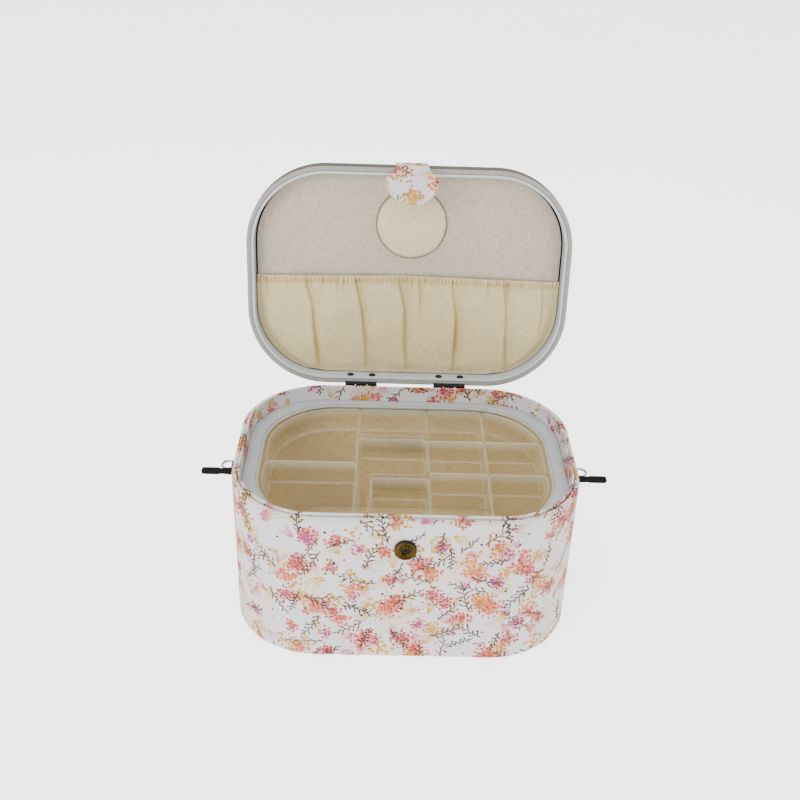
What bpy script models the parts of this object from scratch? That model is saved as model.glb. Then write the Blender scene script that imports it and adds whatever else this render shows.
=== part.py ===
"""A fabric-covered sewing basket with a hinged lid, a lift-out tray and a magnetic snap flap.

The basket stands on z = 0 with its front towards -Y. Its origin is the middle of its foot.
The lid is drawn closed and then opened about its hinge pins, so that its parts fit the body.
"""

import math

import bmesh
import bpy
from mathutils import Matrix, Vector

MM = 0.001

# Clearances
GAP = 0.3 * MM
CUT_OVERRUN = 2.0 * MM
UNION_BITE = 0.4 * MM

# How finely round shapes are divided
CORNER_STEPS = 10
ROUND_STEPS = 20
SMALL_ROUND_STEPS = 14
EDGE_STEPS = 3
CROWN_STEPS = 5

# Body: the padded outer face, and the layers of the wall from the outside inwards
BODY_WIDTH = 300.0 * MM
BODY_DEPTH = 217.0 * MM
BODY_CORNER = 75.0 * MM
RIM_HEIGHT = 151.5 * MM
SHOULDER_DROP = 2.2 * MM
COVER_THICKNESS = 0.6 * MM
BODY_PADDING = 1.4 * MM
BODY_BOARD = 1.5 * MM
LINER_BOARD = 2.5 * MM
LINING_THICKNESS = 1.2 * MM
SHOULDER_ROUND = 3.6 * MM
FOOT_ROUND = 2.6 * MM

# Foot and floor of the body
BOTTOM_COVER = 2.0 * MM
COVER_LIFT = 0.5 * MM
COVER_TURN_UNDER = 6.0 * MM
BASE_BOARD = 3.0 * MM
FLOOR_PAD = 2.0 * MM

# Plastic ledge ring that carries the tray
RING_DROP = 15.5 * MM
RING_SKIRT_HEIGHT = 12.0 * MM
RING_WALL = 1.8 * MM
RING_LEDGE = 1.5 * MM
RING_LEDGE_WIDTH = 2.6 * MM
RING_SIDE_SHELF = 11.4 * MM
RING_FRONT_SHELF = 6.9 * MM
TRAY_PLAY = 0.4 * MM

# Clear tray, which fills the ledge ring's opening
TRAY_CORNER_TIGHTER = 7.0 * MM
TRAY_HEIGHT = 27.0 * MM
TRAY_WALL = 1.6 * MM
TRAY_LIP = 2.8 * MM
TRAY_DRAFT = 3.2 * MM
TRAY_FOOT_ROUND = 2.4 * MM
DIVIDER_THICKNESS = 1.5 * MM
DIVIDER_DROP = 2.8 * MM
LEFT_WALL_X = -43.0 * MM
MIDDLE_WALL_X = 21.0 * MM
RIGHT_WALL_X = 74.0 * MM
LEFT_DIVIDER_Y = -2.0 * MM
BACK_DIVIDER_Y = 36.0 * MM
FRONT_DIVIDER_Y = -16.0 * MM
RIB_WIDTH = 8.0 * MM
BACK_RIB_Y = 41.0 * MM
FRONT_RIB_Y = -22.0 * MM
SHORT_WALL_X = -30.0 * MM

# Lid: outline, layers and recess
LID_SIDE_OVERHANG = 1.0 * MM
LID_FRONT_SETBACK = 4.6 * MM
LID_BACK_SETBACK = 2.9 * MM
LID_CORNER_TIGHTER = 1.0 * MM
LID_THICKNESS = 21.0 * MM
LID_CROWN = 5.0 * MM
LID_SHOULDER = 4.0 * MM
LID_BOARD = 2.2 * MM
LID_FRAME = 1.5 * MM
LID_TRIM_WIDTH = 3.9 * MM
LID_TRIM_THICKNESS = 0.8 * MM
LID_RING_WIDTH = 2.6 * MM
LID_RING_WALL = 1.6 * MM
LID_RECESS = 14.0 * MM
LID_LINING_BOARD = 2.2 * MM
LID_LINING_PLAY = 0.9 * MM
LID_OPEN_ANGLE = math.radians(97.7)

# Pincushion and gathered pocket in the lid
PINCUSHION_RADIUS = 32.8 * MM
PINCUSHION_HEIGHT = 8.0 * MM
PINCUSHION_EDGE = 2.6 * MM
PINCUSHION_X = 1.5 * MM
PINCUSHION_ROUND_POWER = 0.7
PINCUSHION_STEPS = 32
PINCUSHION_FROM_FRONT = 53.5 * MM
POCKET_BELOW_PINCUSHION = 19.7 * MM
POCKET_FOOT_FROM_EDGE = 1.6 * MM
POCKET_PEAK = 3.0 * MM
POCKET_CLOTH = 1.0 * MM
POCKET_BULGE = 5.0 * MM
POCKET_FOLD_DEPTH = 1.7 * MM
POCKET_COLUMNS = 60
POCKET_ROWS = 7
POCKET_FOLD_WIDTH = 3.4 * MM
ELASTIC_WIDTH = 5.0 * MM
POCKET_FOLD_SHARES = (-0.66, -0.33, -0.04, 0.36, 0.74)
POCKET_SIDE_ROUND = 15.0 * MM
POCKET_BELLY_SHARES = (0.18, 0.72)
POCKET_BELLY_POWER = 0.8
POCKET_FOLD_REACH_SHARES = (0.25, 0.7)

# Hinges
HINGE_PIN_BEHIND_LID = 0.5 * MM
HINGE_PIN_ABOVE_RIM = 0.5 * MM
HINGE_FROM_CORNER = 32.0 * MM
HINGE_WIDTH = 31.0 * MM
HINGE_LEAF_HEIGHT = 10.0 * MM
HINGE_LEAF_THICKNESS = 0.9 * MM
KNUCKLE_RADIUS = 1.8 * MM
KNUCKLE_BORE_RADIUS = 1.2 * MM
PIN_RADIUS = 0.9 * MM
MIDDLE_KNUCKLE = 11.0 * MM
KNUCKLE_GAP = 0.4 * MM
RIVET_SPACING = 21.0 * MM
RIVET_SHANK_RADIUS = 1.1 * MM
RIVET_HEAD_RADIUS = 2.5 * MM
RIVET_HEAD_HEIGHT = 0.9 * MM
RIVET_DOME_SHARES = ((1.0, 0.33), (0.7, 0.85), (0.3, 1.0))
LID_RIVET_FROM_FACE = 4.2 * MM
BODY_RIVET_BELOW_PIN = 7.2 * MM

# Magnetic snap
SNAP_DROP = 30.5 * MM
SNAP_RADIUS = 9.1 * MM
SNAP_PROUD = 3.2 * MM
SNAP_RIM = 1.0 * MM
SNAP_HOLE_RADIUS = 3.3 * MM
SNAP_RING_RADIUS = 4.5 * MM
MAGNET_RADIUS = 7.6 * MM
MAGNET_HEIGHT = 1.6 * MM
SNAP_POST_RADIUS = 2.6 * MM
WASHER_RADIUS = 8.0 * MM
WASHER_THICKNESS = 0.8 * MM
STUD_RADIUS = 9.0 * MM
STUD_BASE = 0.9 * MM
STUD_POST_RADIUS = 2.4 * MM
STUD_POST_HEIGHT = 1.5 * MM

# Closure flap
FLAP_THICKNESS = 2.4 * MM
FLAP_ROOT_WIDTH = 30.0 * MM
FLAP_ROOT_THICKNESS = 1.8 * MM
FLAP_NECK_LENGTH = 9.5 * MM
FLAP_NECK_ANGLE = math.radians(57.0)
FLAP_TONGUE_ANGLE = math.radians(8.0)
FLAP_SNAP_ANGLE = math.radians(4.0)
FLAP_WIDTH = 47.0 * MM
FLAP_TONGUE_LENGTH = 42.0 * MM
FLAP_WIDEST = 16.0 * MM
FLAP_OPEN_FOLD = math.radians(47.0)
FLAP_HINGE_OUT = 1.5 * MM
FLAP_HINGE_UP = 0.4 * MM
FLAP_CREASE_CLEARANCE = 0.6 * MM
FLARE_STEPS = 6

# Side straps
STRAP_HEIGHT = 119.5 * MM
STRAP_BAR_OUT = 5.2 * MM
STRAP_WIRE_RADIUS = 1.1 * MM
STRAP_RING_OUT = 11.0 * MM
STRAP_RING_WIDTH = 12.4 * MM
STRAP_RING_Y = 8.9 * MM
STRAP_BAR_END = 1.0 * MM
STRAP_LOOP_WIDTH = 8.0 * MM
STRAP_LOOP_THICKNESS = 1.2 * MM
STRAP_PATCH_HEIGHT = 12.0 * MM
STRAP_TAB_WIDTH = 4.2 * MM
STRAP_TAB_Y = -1.2 * MM
STRAP_TAB_THICKNESS = 3.6 * MM
STRAP_TAB_THICK_END = 5.0 * MM
STRAP_TAB_LENGTH = 28.0 * MM
STRAP_TAB_DOUBLED = 15.0 * MM
STRAP_BEND_STEPS = 8
STRAP_WIRE_STEPS = 8

# Levels and insets that follow from the sizes above
SHOULDER_Z = RIM_HEIGHT - SHOULDER_DROP
PADDING_INSET = COVER_THICKNESS + GAP
BOARD_INSET = PADDING_INSET + BODY_PADDING + GAP
LINER_INSET = BOARD_INSET + BODY_BOARD + GAP
INSIDE_INSET = LINER_INSET + LINER_BOARD + GAP
BOARD_TOP_Z = SHOULDER_Z - COVER_THICKNESS - GAP
BASE_Z = BOTTOM_COVER + GAP
FLOOR_PAD_Z = BASE_Z + BASE_BOARD + GAP
LINING_Z = FLOOR_PAD_Z + FLOOR_PAD + GAP
RING_TOP_Z = RIM_HEIGHT - RING_DROP
TRAY_LIP_Z = RING_TOP_Z - TRAY_WALL
LEDGE_Z = TRAY_LIP_Z - GAP
TRAY_FLOOR_Z = RING_TOP_Z - TRAY_HEIGHT
TRAY_WIDTH = BODY_WIDTH - 2 * (INSIDE_INSET + RING_SIDE_SHELF + TRAY_PLAY)
TRAY_DEPTH = BODY_DEPTH - 2 * (INSIDE_INSET + RING_FRONT_SHELF + TRAY_PLAY)
TRAY_CORNER = BODY_CORNER - TRAY_CORNER_TIGHTER
LID_WIDTH = BODY_WIDTH + 2 * LID_SIDE_OVERHANG
LID_DEPTH = BODY_DEPTH - LID_FRONT_SETBACK - LID_BACK_SETBACK
LID_CORNER = BODY_CORNER - LID_CORNER_TIGHTER
LID_BACK_EDGE_Y = BODY_DEPTH / 2 - LID_BACK_SETBACK
LID_FACE_Z = RIM_HEIGHT + GAP
LID_CENTRE_Y = LID_BACK_EDGE_Y - LID_DEPTH / 2
LID_FRONT_Y = LID_BACK_EDGE_Y - LID_DEPTH
LID_TOP_Z = LID_FACE_Z + LID_THICKNESS
LID_RECESS_Z = LID_FACE_Z + LID_RECESS
LID_LINING_TOP_Z = LID_RECESS_Z + LID_LINING_BOARD
LID_BOARD_Z = LID_LINING_TOP_Z + GAP
LID_PADDING_Z = LID_BOARD_Z + LID_BOARD + GAP
LID_FRAME_INSET = COVER_THICKNESS + GAP
LID_RING_INSET = LID_TRIM_WIDTH + GAP
LID_RECESS_INSET = LID_RING_INSET + LID_RING_WIDTH
LID_LINING_INSET = LID_RECESS_INSET + LID_LINING_PLAY
PINCUSHION_FROM_HINGE = LID_DEPTH - PINCUSHION_FROM_FRONT
POCKET_TOP_FROM_HINGE = PINCUSHION_FROM_HINGE - PINCUSHION_RADIUS - POCKET_BELOW_PINCUSHION
HINGE_PIN_Y = LID_BACK_EDGE_Y + HINGE_PIN_BEHIND_LID
HINGE_SPACING = BODY_WIDTH - 2 * (BODY_CORNER + HINGE_FROM_CORNER)
HINGE_PIN_Z = RIM_HEIGHT + HINGE_PIN_ABOVE_RIM
HINGE_PIN = Vector((0.0, HINGE_PIN_Y, HINGE_PIN_Z))
SNAP_Z = RIM_HEIGHT - SNAP_DROP
SNAP_FACE_Y = -BODY_DEPTH / 2 - GAP
FLAP_HINGE = Vector((0.0, LID_FRONT_Y - FLAP_HINGE_OUT, LID_FACE_Z + FLAP_HINGE_UP))
SIDES = (("left", -1), ("right", 1))


def rounded_loop(size, inset, z, centre_y=0.0):
    """The points of a rectangle with round corners, counter-clockwise, seen from above."""
    width, depth, corner = size
    half_x = width / 2 - inset
    half_y = depth / 2 - inset
    radius = corner - inset
    points = []
    for quarter in range(4):
        turn = quarter * math.pi / 2
        side_x = 1 if quarter in (0, 3) else -1
        side_y = 1 if quarter in (0, 1) else -1
        corner_x = side_x * (half_x - radius)
        corner_y = side_y * (half_y - radius)
        for step in range(CORNER_STEPS + 1):
            angle = turn + step / CORNER_STEPS * math.pi / 2
            x = corner_x + radius * math.cos(angle)
            y = corner_y + radius * math.sin(angle) + centre_y
            points.append(Vector((x, y, z)))
    return points


def circle_loop(centre, radius, axis, along, steps=ROUND_STEPS):
    """A ring of points round an axis through centre, moved along the axis."""
    axis = axis.normalized()
    first = axis.orthogonal().normalized()
    second = axis.cross(first)
    points = []
    for step in range(steps):
        angle = 2 * math.pi * step / steps
        spoke = first * math.cos(angle) + second * math.sin(angle)
        points.append(centre + axis * along + spoke * radius)
    return points


def material(name, colour, roughness, metallic=0.0, alpha=1.0):
    """A Principled material in the piece's own colour."""
    made = bpy.data.materials.new(name)
    made.use_nodes = True
    shader = made.node_tree.nodes["Principled BSDF"]
    shader.inputs["Base Color"].default_value = (*colour, 1.0)
    shader.inputs["Roughness"].default_value = roughness
    shader.inputs["Metallic"].default_value = metallic
    shader.inputs["Alpha"].default_value = alpha
    made.diffuse_color = (*colour, alpha)
    return made


def finish_mesh(name, mesh_data, finish):
    """Turns a bmesh into a named object with its faces pointing out."""
    bmesh.ops.recalc_face_normals(mesh_data, faces=mesh_data.faces)
    mesh = bpy.data.meshes.new(name)
    mesh_data.to_mesh(mesh)
    mesh_data.free()
    mesh.shade_smooth()
    mesh.set_sharp_from_angle(angle=math.radians(32))
    made = bpy.data.objects.new(name, mesh)
    if finish is not None:
        mesh.materials.append(finish)
    bpy.context.collection.objects.link(made)
    return made


def skin(name, loops, finish, ring=False):
    """Joins loops of equal length into a solid, closed by end faces or round into a ring."""
    mesh_data = bmesh.new()
    rows = [[mesh_data.verts.new(point) for point in loop] for loop in loops]
    count = len(rows[0])
    pairs = list(zip(rows[:-1], rows[1:]))
    if ring:
        pairs.append((rows[-1], rows[0]))
    for lower, upper in pairs:
        for index in range(count):
            after = (index + 1) % count
            mesh_data.faces.new((lower[index], lower[after], upper[after], upper[index]))
    if not ring:
        mesh_data.faces.new(rows[0])
        mesh_data.faces.new(rows[-1])
    return finish_mesh(name, mesh_data, finish)


def box(name, low, high, finish=None):
    """A plain block between two corners."""
    loops = []
    for z in (low[2], high[2]):
        corners = ((low[0], low[1]), (high[0], low[1]), (high[0], high[1]), (low[0], high[1]))
        loops.append([Vector((x, y, z)) for x, y in corners])
    return skin(name, loops, finish)


def turned(name, centre, axis, profile, finish=None, steps=ROUND_STEPS, ring=False):
    """A round solid from (radius, distance along the axis) pairs."""
    loops = [circle_loop(centre, radius, axis, along, steps) for radius, along in profile]
    return skin(name, loops, finish, ring)


def plate(name, outline, low_x, high_x, finish=None):
    """A solid with an outline in Y and Z, carried along X."""
    loops = []
    for x in (low_x, high_x):
        loops.append([Vector((x, y, z)) for y, z in outline])
    return skin(name, loops, finish)


def combine(target, tools, operation):
    """Cuts the tools from a piece or joins them to it, and keeps them as hidden guides."""
    for tool in tools:
        tool.hide_render = True
        tool.display_type = "WIRE"
        step = target.modifiers.new(tool.name, "BOOLEAN")
        step.operation = operation
        step.solver = "EXACT"
        step.object = tool


def pivot(name, at, angle=0.0, parent=None):
    """An empty on a joint's axis, turned about X."""
    made = bpy.data.objects.new(name, None)
    bpy.context.collection.objects.link(made)
    made.parent = parent
    made.location = at
    made.rotation_euler = (angle, 0.0, 0.0)
    return made


def hang(pieces, parent, axis_point):
    """Gives pieces their origin on a joint's axis and parents them to its empty."""
    for piece in pieces:
        piece.data.transform(Matrix.Translation(-axis_point))
        piece.parent = parent


for old in list(bpy.data.objects):
    bpy.data.objects.remove(old, do_unlink=True)

PRINT_CLOTH = material("print_cloth", (0.80, 0.76, 0.73), 0.85)
FOAM = material("foam", (0.86, 0.85, 0.80), 0.95)
GREY_BOARD = material("grey_board", (0.45, 0.42, 0.38), 0.9)
LINEN = material("linen", (0.58, 0.52, 0.45), 0.9)
COTTON = material("cotton", (0.64, 0.57, 0.43), 0.9)
GREY_PLASTIC = material("grey_plastic", (0.56, 0.58, 0.60), 0.45)
CLEAR_PLASTIC = material("clear_plastic", (0.80, 0.76, 0.64), 0.08, alpha=0.35)
BLACK_METAL = material("black_metal", (0.01, 0.01, 0.01), 0.4, metallic=0.6)
OLD_BRASS = material("old_brass", (0.22, 0.15, 0.06), 0.35, metallic=1.0)
STEEL = material("steel", (0.50, 0.50, 0.50), 0.35, metallic=1.0)
MAGNET = material("magnet", (0.10, 0.10, 0.11), 0.5, metallic=0.8)
BLACK_STRAP = material("black_strap", (0.01, 0.01, 0.01), 0.6)

BODY = (BODY_WIDTH, BODY_DEPTH, BODY_CORNER)
TRAY = (TRAY_WIDTH, TRAY_DEPTH, TRAY_CORNER)
LID = (LID_WIDTH, LID_DEPTH, LID_CORNER)


def wrapped_profile():
    """The body cover's section: up the outside, in over the shoulder, and under the foot."""
    thick = COVER_THICKNESS
    inner_edge = LINER_INSET - GAP
    outer_round = SHOULDER_ROUND
    inner_round = SHOULDER_ROUND - thick
    foot_round = FOOT_ROUND
    outside = []
    inside = []
    for step in range(EDGE_STEPS + 1):
        angle = step / EDGE_STEPS * math.pi / 2
        drop = 1 - math.cos(angle)
        rise = math.sin(angle)
        z_outer = SHOULDER_Z - outer_round + outer_round * rise
        z_inner = SHOULDER_Z - outer_round + inner_round * rise
        outside.append((outer_round * drop, z_outer))
        inside.append((thick + inner_round * drop, z_inner))
    outside.append((inner_edge, SHOULDER_Z))
    inside.append((inner_edge, SHOULDER_Z - thick))
    under_outer = []
    under_inner = []
    for step in range(EDGE_STEPS + 1):
        angle = step / EDGE_STEPS * math.pi / 2
        drop = 1 - math.cos(angle)
        fall = math.sin(angle)
        foot_z = COVER_LIFT + foot_round
        under_outer.append((foot_round * drop, foot_z - foot_round * fall))
        under_inner.append((thick + (foot_round - thick) * drop, foot_z - (foot_round - thick) * fall))
    under_outer.append((COVER_TURN_UNDER, COVER_LIFT))
    under_inner.append((COVER_TURN_UNDER, COVER_LIFT + thick))
    return under_outer[::-1] + outside + inside[::-1] + under_inner


def make_body_walls():
    """The layered wall of the body, from the printed cover in to the liner."""
    loops = [rounded_loop(BODY, inset, z) for inset, z in wrapped_profile()]
    cover = skin("body_cover", loops, PRINT_CLOTH, ring=True)

    foot_z = COVER_LIFT + COVER_THICKNESS + GAP
    round_start_z = SHOULDER_Z - SHOULDER_ROUND
    profile = (
        (PADDING_INSET, foot_z + FOOT_ROUND),
        (PADDING_INSET, round_start_z),
        (PADDING_INSET + BODY_PADDING / 2, round_start_z + SHOULDER_ROUND / 2),
        (PADDING_INSET + BODY_PADDING, round_start_z + SHOULDER_ROUND / 2),
        (PADDING_INSET + BODY_PADDING, foot_z + FOOT_ROUND / 2),
        (PADDING_INSET + BODY_PADDING / 2, foot_z + FOOT_ROUND / 2),
    )
    loops = [rounded_loop(BODY, inset, z) for inset, z in profile]
    padding = skin("body_padding", loops, FOAM, ring=True)

    board = tube("body_board", BOARD_INSET, BODY_BOARD, foot_z, BOARD_TOP_Z, GREY_BOARD)
    liner = tube("rim_liner", LINER_INSET, LINER_BOARD, BASE_Z, RIM_HEIGHT, PRINT_CLOTH)
    return cover, padding, board, liner


def tube(name, inset, thickness, low_z, high_z, finish):
    """A wall of one thickness that follows the body's outline."""
    profile = (
        (inset, low_z),
        (inset, high_z),
        (inset + thickness, high_z),
        (inset + thickness, low_z),
    )
    loops = [rounded_loop(BODY, inset_here, z) for inset_here, z in profile]
    return skin(name, loops, finish, ring=True)


def make_body_inside():
    """The bottom panels, the linen lining and the plastic ring that carries the tray."""
    panel_inset = COVER_TURN_UNDER + GAP
    panel(BODY, "bottom_cover", panel_inset, 0.0, BOTTOM_COVER, PRINT_CLOTH)
    panel(BODY, "base_board", INSIDE_INSET, BASE_Z, BASE_Z + BASE_BOARD, GREY_BOARD)
    panel(BODY, "floor_lining", INSIDE_INSET, FLOOR_PAD_Z, FLOOR_PAD_Z + FLOOR_PAD, LINEN)
    skirt_z = RING_TOP_Z - RING_SKIRT_HEIGHT
    tube("wall_lining", INSIDE_INSET, LINING_THICKNESS, LINING_Z, skirt_z - GAP, LINEN)
    under_z = LEDGE_Z - RING_LEDGE
    loops = [
        rounded_loop(BODY, INSIDE_INSET, RING_TOP_Z),
        rounded_loop(TRAY, -TRAY_PLAY, RING_TOP_Z),
        rounded_loop(TRAY, -TRAY_PLAY, LEDGE_Z),
        rounded_loop(TRAY, RING_LEDGE_WIDTH - TRAY_PLAY, LEDGE_Z),
        rounded_loop(TRAY, RING_LEDGE_WIDTH - TRAY_PLAY, under_z),
        rounded_loop(BODY, INSIDE_INSET + RING_WALL, under_z),
        rounded_loop(BODY, INSIDE_INSET + RING_WALL, skirt_z),
        rounded_loop(BODY, INSIDE_INSET, skirt_z),
    ]
    skin("ledge_ring", loops, GREY_PLASTIC, ring=True)


def panel(size, name, inset, low_z, high_z, finish, centre_y=0.0):
    """A flat panel that follows an outline."""
    loops = [rounded_loop(size, inset, z, centre_y) for z in (low_z, high_z)]
    return skin(name, loops, finish)


def tray_tub(name, shift, finish=None):
    """The tray's outer form, a bowl with a lip; shift moves its skin inwards for the dividers."""
    low = TRAY_LIP + shift
    foot = TRAY_LIP + TRAY_DRAFT + shift
    floor_z = TRAY_FLOOR_Z + shift
    round_z = TRAY_FLOOR_Z + TRAY_FOOT_ROUND
    outer = [
        rounded_loop(TRAY, foot + TRAY_FOOT_ROUND, floor_z),
        rounded_loop(TRAY, foot, round_z),
    ]
    if shift:
        outer.append(rounded_loop(TRAY, low, RING_TOP_Z))
        return skin(name, outer, finish)
    outer += [
        rounded_loop(TRAY, low, TRAY_LIP_Z),
        rounded_loop(TRAY, 0.0, TRAY_LIP_Z),
        rounded_loop(TRAY, 0.0, RING_TOP_Z),
        rounded_loop(TRAY, low + TRAY_WALL, RING_TOP_Z),
        rounded_loop(TRAY, foot + TRAY_WALL, round_z + TRAY_WALL / 2),
        rounded_loop(TRAY, foot + TRAY_WALL + TRAY_FOOT_ROUND, TRAY_FLOOR_Z + TRAY_WALL),
    ]
    return skin(name, outer, finish)


def divider_blocks():
    """Low and high corners in plan of each divider, before they are trimmed to the tray."""
    half = DIVIDER_THICKNESS / 2
    back = TRAY_DEPTH / 2
    side = TRAY_WIDTH / 2
    return {
        "left_wall": (LEFT_WALL_X - half, -back, LEFT_WALL_X + half, back),
        "middle_wall": (MIDDLE_WALL_X - half, -back, MIDDLE_WALL_X + half, back),
        "right_wall": (RIGHT_WALL_X - half, -back, RIGHT_WALL_X + half, back),
        "left_divider": (-side, LEFT_DIVIDER_Y - half, LEFT_WALL_X, LEFT_DIVIDER_Y + half),
        "back_divider": (MIDDLE_WALL_X, BACK_DIVIDER_Y - half, side, BACK_DIVIDER_Y + half),
        "front_divider": (MIDDLE_WALL_X, FRONT_DIVIDER_Y - half, side, FRONT_DIVIDER_Y + half),
        "short_wall": (SHORT_WALL_X - half, -back, SHORT_WALL_X + half, FRONT_RIB_Y),
        "back_rib": (LEFT_WALL_X, BACK_RIB_Y - RIB_WIDTH / 2, MIDDLE_WALL_X, BACK_RIB_Y + RIB_WIDTH / 2),
        "front_rib": (SHORT_WALL_X, FRONT_RIB_Y - RIB_WIDTH / 2, MIDDLE_WALL_X, FRONT_RIB_Y + RIB_WIDTH / 2),
    }


def make_tray():
    """The clear tray: one moulding with a lip, dividers and two hollow finger ribs."""
    tray = tray_tub("tray", 0.0, CLEAR_PLASTIC)
    top_z = RING_TOP_Z - DIVIDER_DROP
    low_z = TRAY_FLOOR_Z + TRAY_WALL - UNION_BITE
    for name, (low_x, low_y, high_x, high_y) in divider_blocks().items():
        block = box("tray_" + name, (low_x, low_y, low_z), (high_x, high_y, top_z))
        core = tray_tub("tray_core_" + name, TRAY_WALL / 2)
        combine(block, [core], "INTERSECT")
        combine(tray, [block], "UNION")
    channel_half = RIB_WIDTH / 2 - DIVIDER_THICKNESS
    channel_low_z = TRAY_FLOOR_Z - CUT_OVERRUN
    channel_top_z = top_z - DIVIDER_THICKNESS
    ends = (("back", BACK_RIB_Y, LEFT_WALL_X), ("front", FRONT_RIB_Y, SHORT_WALL_X))
    for name, centre_y, start_x in ends:
        low = (start_x + DIVIDER_THICKNESS, centre_y - channel_half, channel_low_z)
        high = (MIDDLE_WALL_X - DIVIDER_THICKNESS, centre_y + channel_half, channel_top_z)
        combine(tray, [box("tray_channel_" + name, low, high)], "DIFFERENCE")
    return tray


def lid_loop(inset, z):
    """The lid's outline in its closed place."""
    return rounded_loop(LID, inset, z, LID_CENTRE_Y)


def crowned_loops(first_inset, last_inset, base_z, shoulder, crown, steps=CROWN_STEPS):
    """Loops that rise over a shoulder and on to a low crown at the lid's middle."""
    loops = []
    for step in range(steps):
        angle = step / (steps - 1) * math.pi / 2
        inset = first_inset + shoulder * (1 - math.cos(angle))
        loops.append(lid_loop(inset, base_z + shoulder * math.sin(angle)))
    reach = last_inset - first_inset - shoulder
    for step in range(1, steps + 1):
        share = step / steps
        inset = first_inset + shoulder + reach * share
        rise = crown * math.sin(share * math.pi / 2)
        loops.append(lid_loop(inset, base_z + shoulder + rise))
    return loops


def make_lid_shell():
    """The lid's cover, padding, boards and frame, drawn closed."""
    crown_inset = LID_CORNER - LID_SHOULDER
    inner_shoulder = LID_SHOULDER - COVER_THICKNESS
    start_z = LID_TOP_Z - LID_SHOULDER
    edge_z = LID_FACE_Z + LID_TRIM_THICKNESS + GAP
    loops = [lid_loop(0.0, edge_z)]
    loops += crowned_loops(0.0, crown_inset, start_z, LID_SHOULDER, LID_CROWN)
    inner = [lid_loop(COVER_THICKNESS, edge_z)]
    inner += crowned_loops(COVER_THICKNESS, crown_inset, start_z, inner_shoulder, LID_CROWN)
    cover = skin("lid_cover", inner[::-1] + loops, PRINT_CLOTH)

    pad_inset = LID_FRAME_INSET + LID_SHOULDER / 2
    top_z = LID_TOP_Z - COVER_THICKNESS - GAP
    pad_round = (top_z - LID_PADDING_Z) * 2 / 3
    loops = [lid_loop(pad_inset, LID_PADDING_Z)]
    loops += crowned_loops(pad_inset, crown_inset, top_z - pad_round, pad_round, LID_CROWN)
    padding = skin("lid_padding", loops, FOAM)

    frame_top_z = start_z
    outer, inner_edge = LID_FRAME_INSET, LID_FRAME_INSET + LID_FRAME
    corners = ((outer, edge_z), (outer, frame_top_z), (inner_edge, frame_top_z), (inner_edge, edge_z))
    frame = skin("lid_frame", [lid_loop(inset, z) for inset, z in corners], GREY_BOARD, ring=True)
    board_inset = inner_edge + GAP
    loops = [lid_loop(board_inset, z) for z in (LID_BOARD_Z, LID_BOARD_Z + LID_BOARD)]
    board = skin("lid_board", loops, GREY_BOARD)
    return cover, padding, frame, board


def make_lid_inside():
    """The face trim, the plastic ring and the linen panel that fill the lid's mouth."""
    face_z = LID_FACE_Z
    trim_top_z = face_z + LID_TRIM_THICKNESS
    corners = ((0.0, face_z), (0.0, trim_top_z), (LID_TRIM_WIDTH, trim_top_z), (LID_TRIM_WIDTH, face_z))
    trim = skin("lid_trim", [lid_loop(inset, z) for inset, z in corners], LINEN, ring=True)

    ring_outer = LID_RING_INSET
    ring_wall_outer = LID_RECESS_INSET - LID_RING_WALL
    flange_z = face_z + LID_RING_WALL
    ring_top_z = LID_BOARD_Z - GAP
    seat_z = LID_RECESS_Z - GAP
    ledge_inset = LID_RECESS_INSET
    corners = (
        (ring_outer, face_z),
        (ring_outer, flange_z),
        (ring_wall_outer, flange_z),
        (ring_wall_outer, ring_top_z),
        (ledge_inset, ring_top_z),
        (ledge_inset, seat_z),
        (ledge_inset, face_z),
    )
    ring = skin("lid_ring", [lid_loop(inset, z) for inset, z in corners], GREY_PLASTIC, ring=True)
    loops = [lid_loop(LID_LINING_INSET, z) for z in (LID_RECESS_Z, LID_LINING_TOP_Z)]
    lining = skin("lid_lining", loops, LINEN)
    return trim, ring, lining


def make_pincushion():
    """A round padded cushion on the linen panel, with a flat sewn edge."""
    centre = Vector((PINCUSHION_X, LID_BACK_EDGE_Y - PINCUSHION_FROM_HINGE, LID_RECESS_Z - GAP))
    crown = PINCUSHION_HEIGHT - PINCUSHION_EDGE
    profile = [(PINCUSHION_RADIUS - PINCUSHION_EDGE / 2, 0.0), (PINCUSHION_RADIUS, PINCUSHION_EDGE / 2)]
    for step in range(1, CROWN_STEPS + 1):
        angle = step / (CROWN_STEPS + 1) * math.pi / 2
        radius = PINCUSHION_RADIUS * math.cos(angle)
        rise = crown * math.sin(angle) ** PINCUSHION_ROUND_POWER
        profile.append((radius, PINCUSHION_EDGE + rise))
    return turned("pincushion", centre, Vector((0, 0, -1)), profile, COTTON, PINCUSHION_STEPS)


def pocket_half_width(from_hinge):
    """Half the panel's width at a distance from the hinge edge of the lid."""
    inset = LID_LINING_INSET + POCKET_FOOT_FROM_EDGE
    half = LID_WIDTH / 2 - inset
    radius = LID_CORNER - inset
    short = radius - (from_hinge - inset)
    if short <= 0.0:
        return half
    return half - radius + math.sqrt(max(radius ** 2 - short ** 2, 0.0))


def pocket_depth(x_share, height_share, half_width):
    """How far the pocket stands off the panel: seams, a soft bulge and the main folds."""
    side = min(1.0, (1.0 - abs(x_share)) * half_width / POCKET_SIDE_ROUND)
    round_side = math.sin(side * math.pi / 2)
    start, reach = POCKET_BELLY_SHARES
    belly = math.sin(math.pi * min(1.0, start + reach * height_share)) ** POCKET_BELLY_POWER
    start, reach = POCKET_FOLD_REACH_SHARES
    depth = POCKET_CLOTH + POCKET_BULGE * belly * round_side
    for fold_share in POCKET_FOLD_SHARES:
        away = (x_share - fold_share) * half_width / POCKET_FOLD_WIDTH
        fold = math.exp(-away ** 2) * math.sin(math.pi * min(1.0, start + reach * height_share))
        depth -= POCKET_FOLD_DEPTH * fold * round_side
    return max(depth, POCKET_CLOTH)


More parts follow.
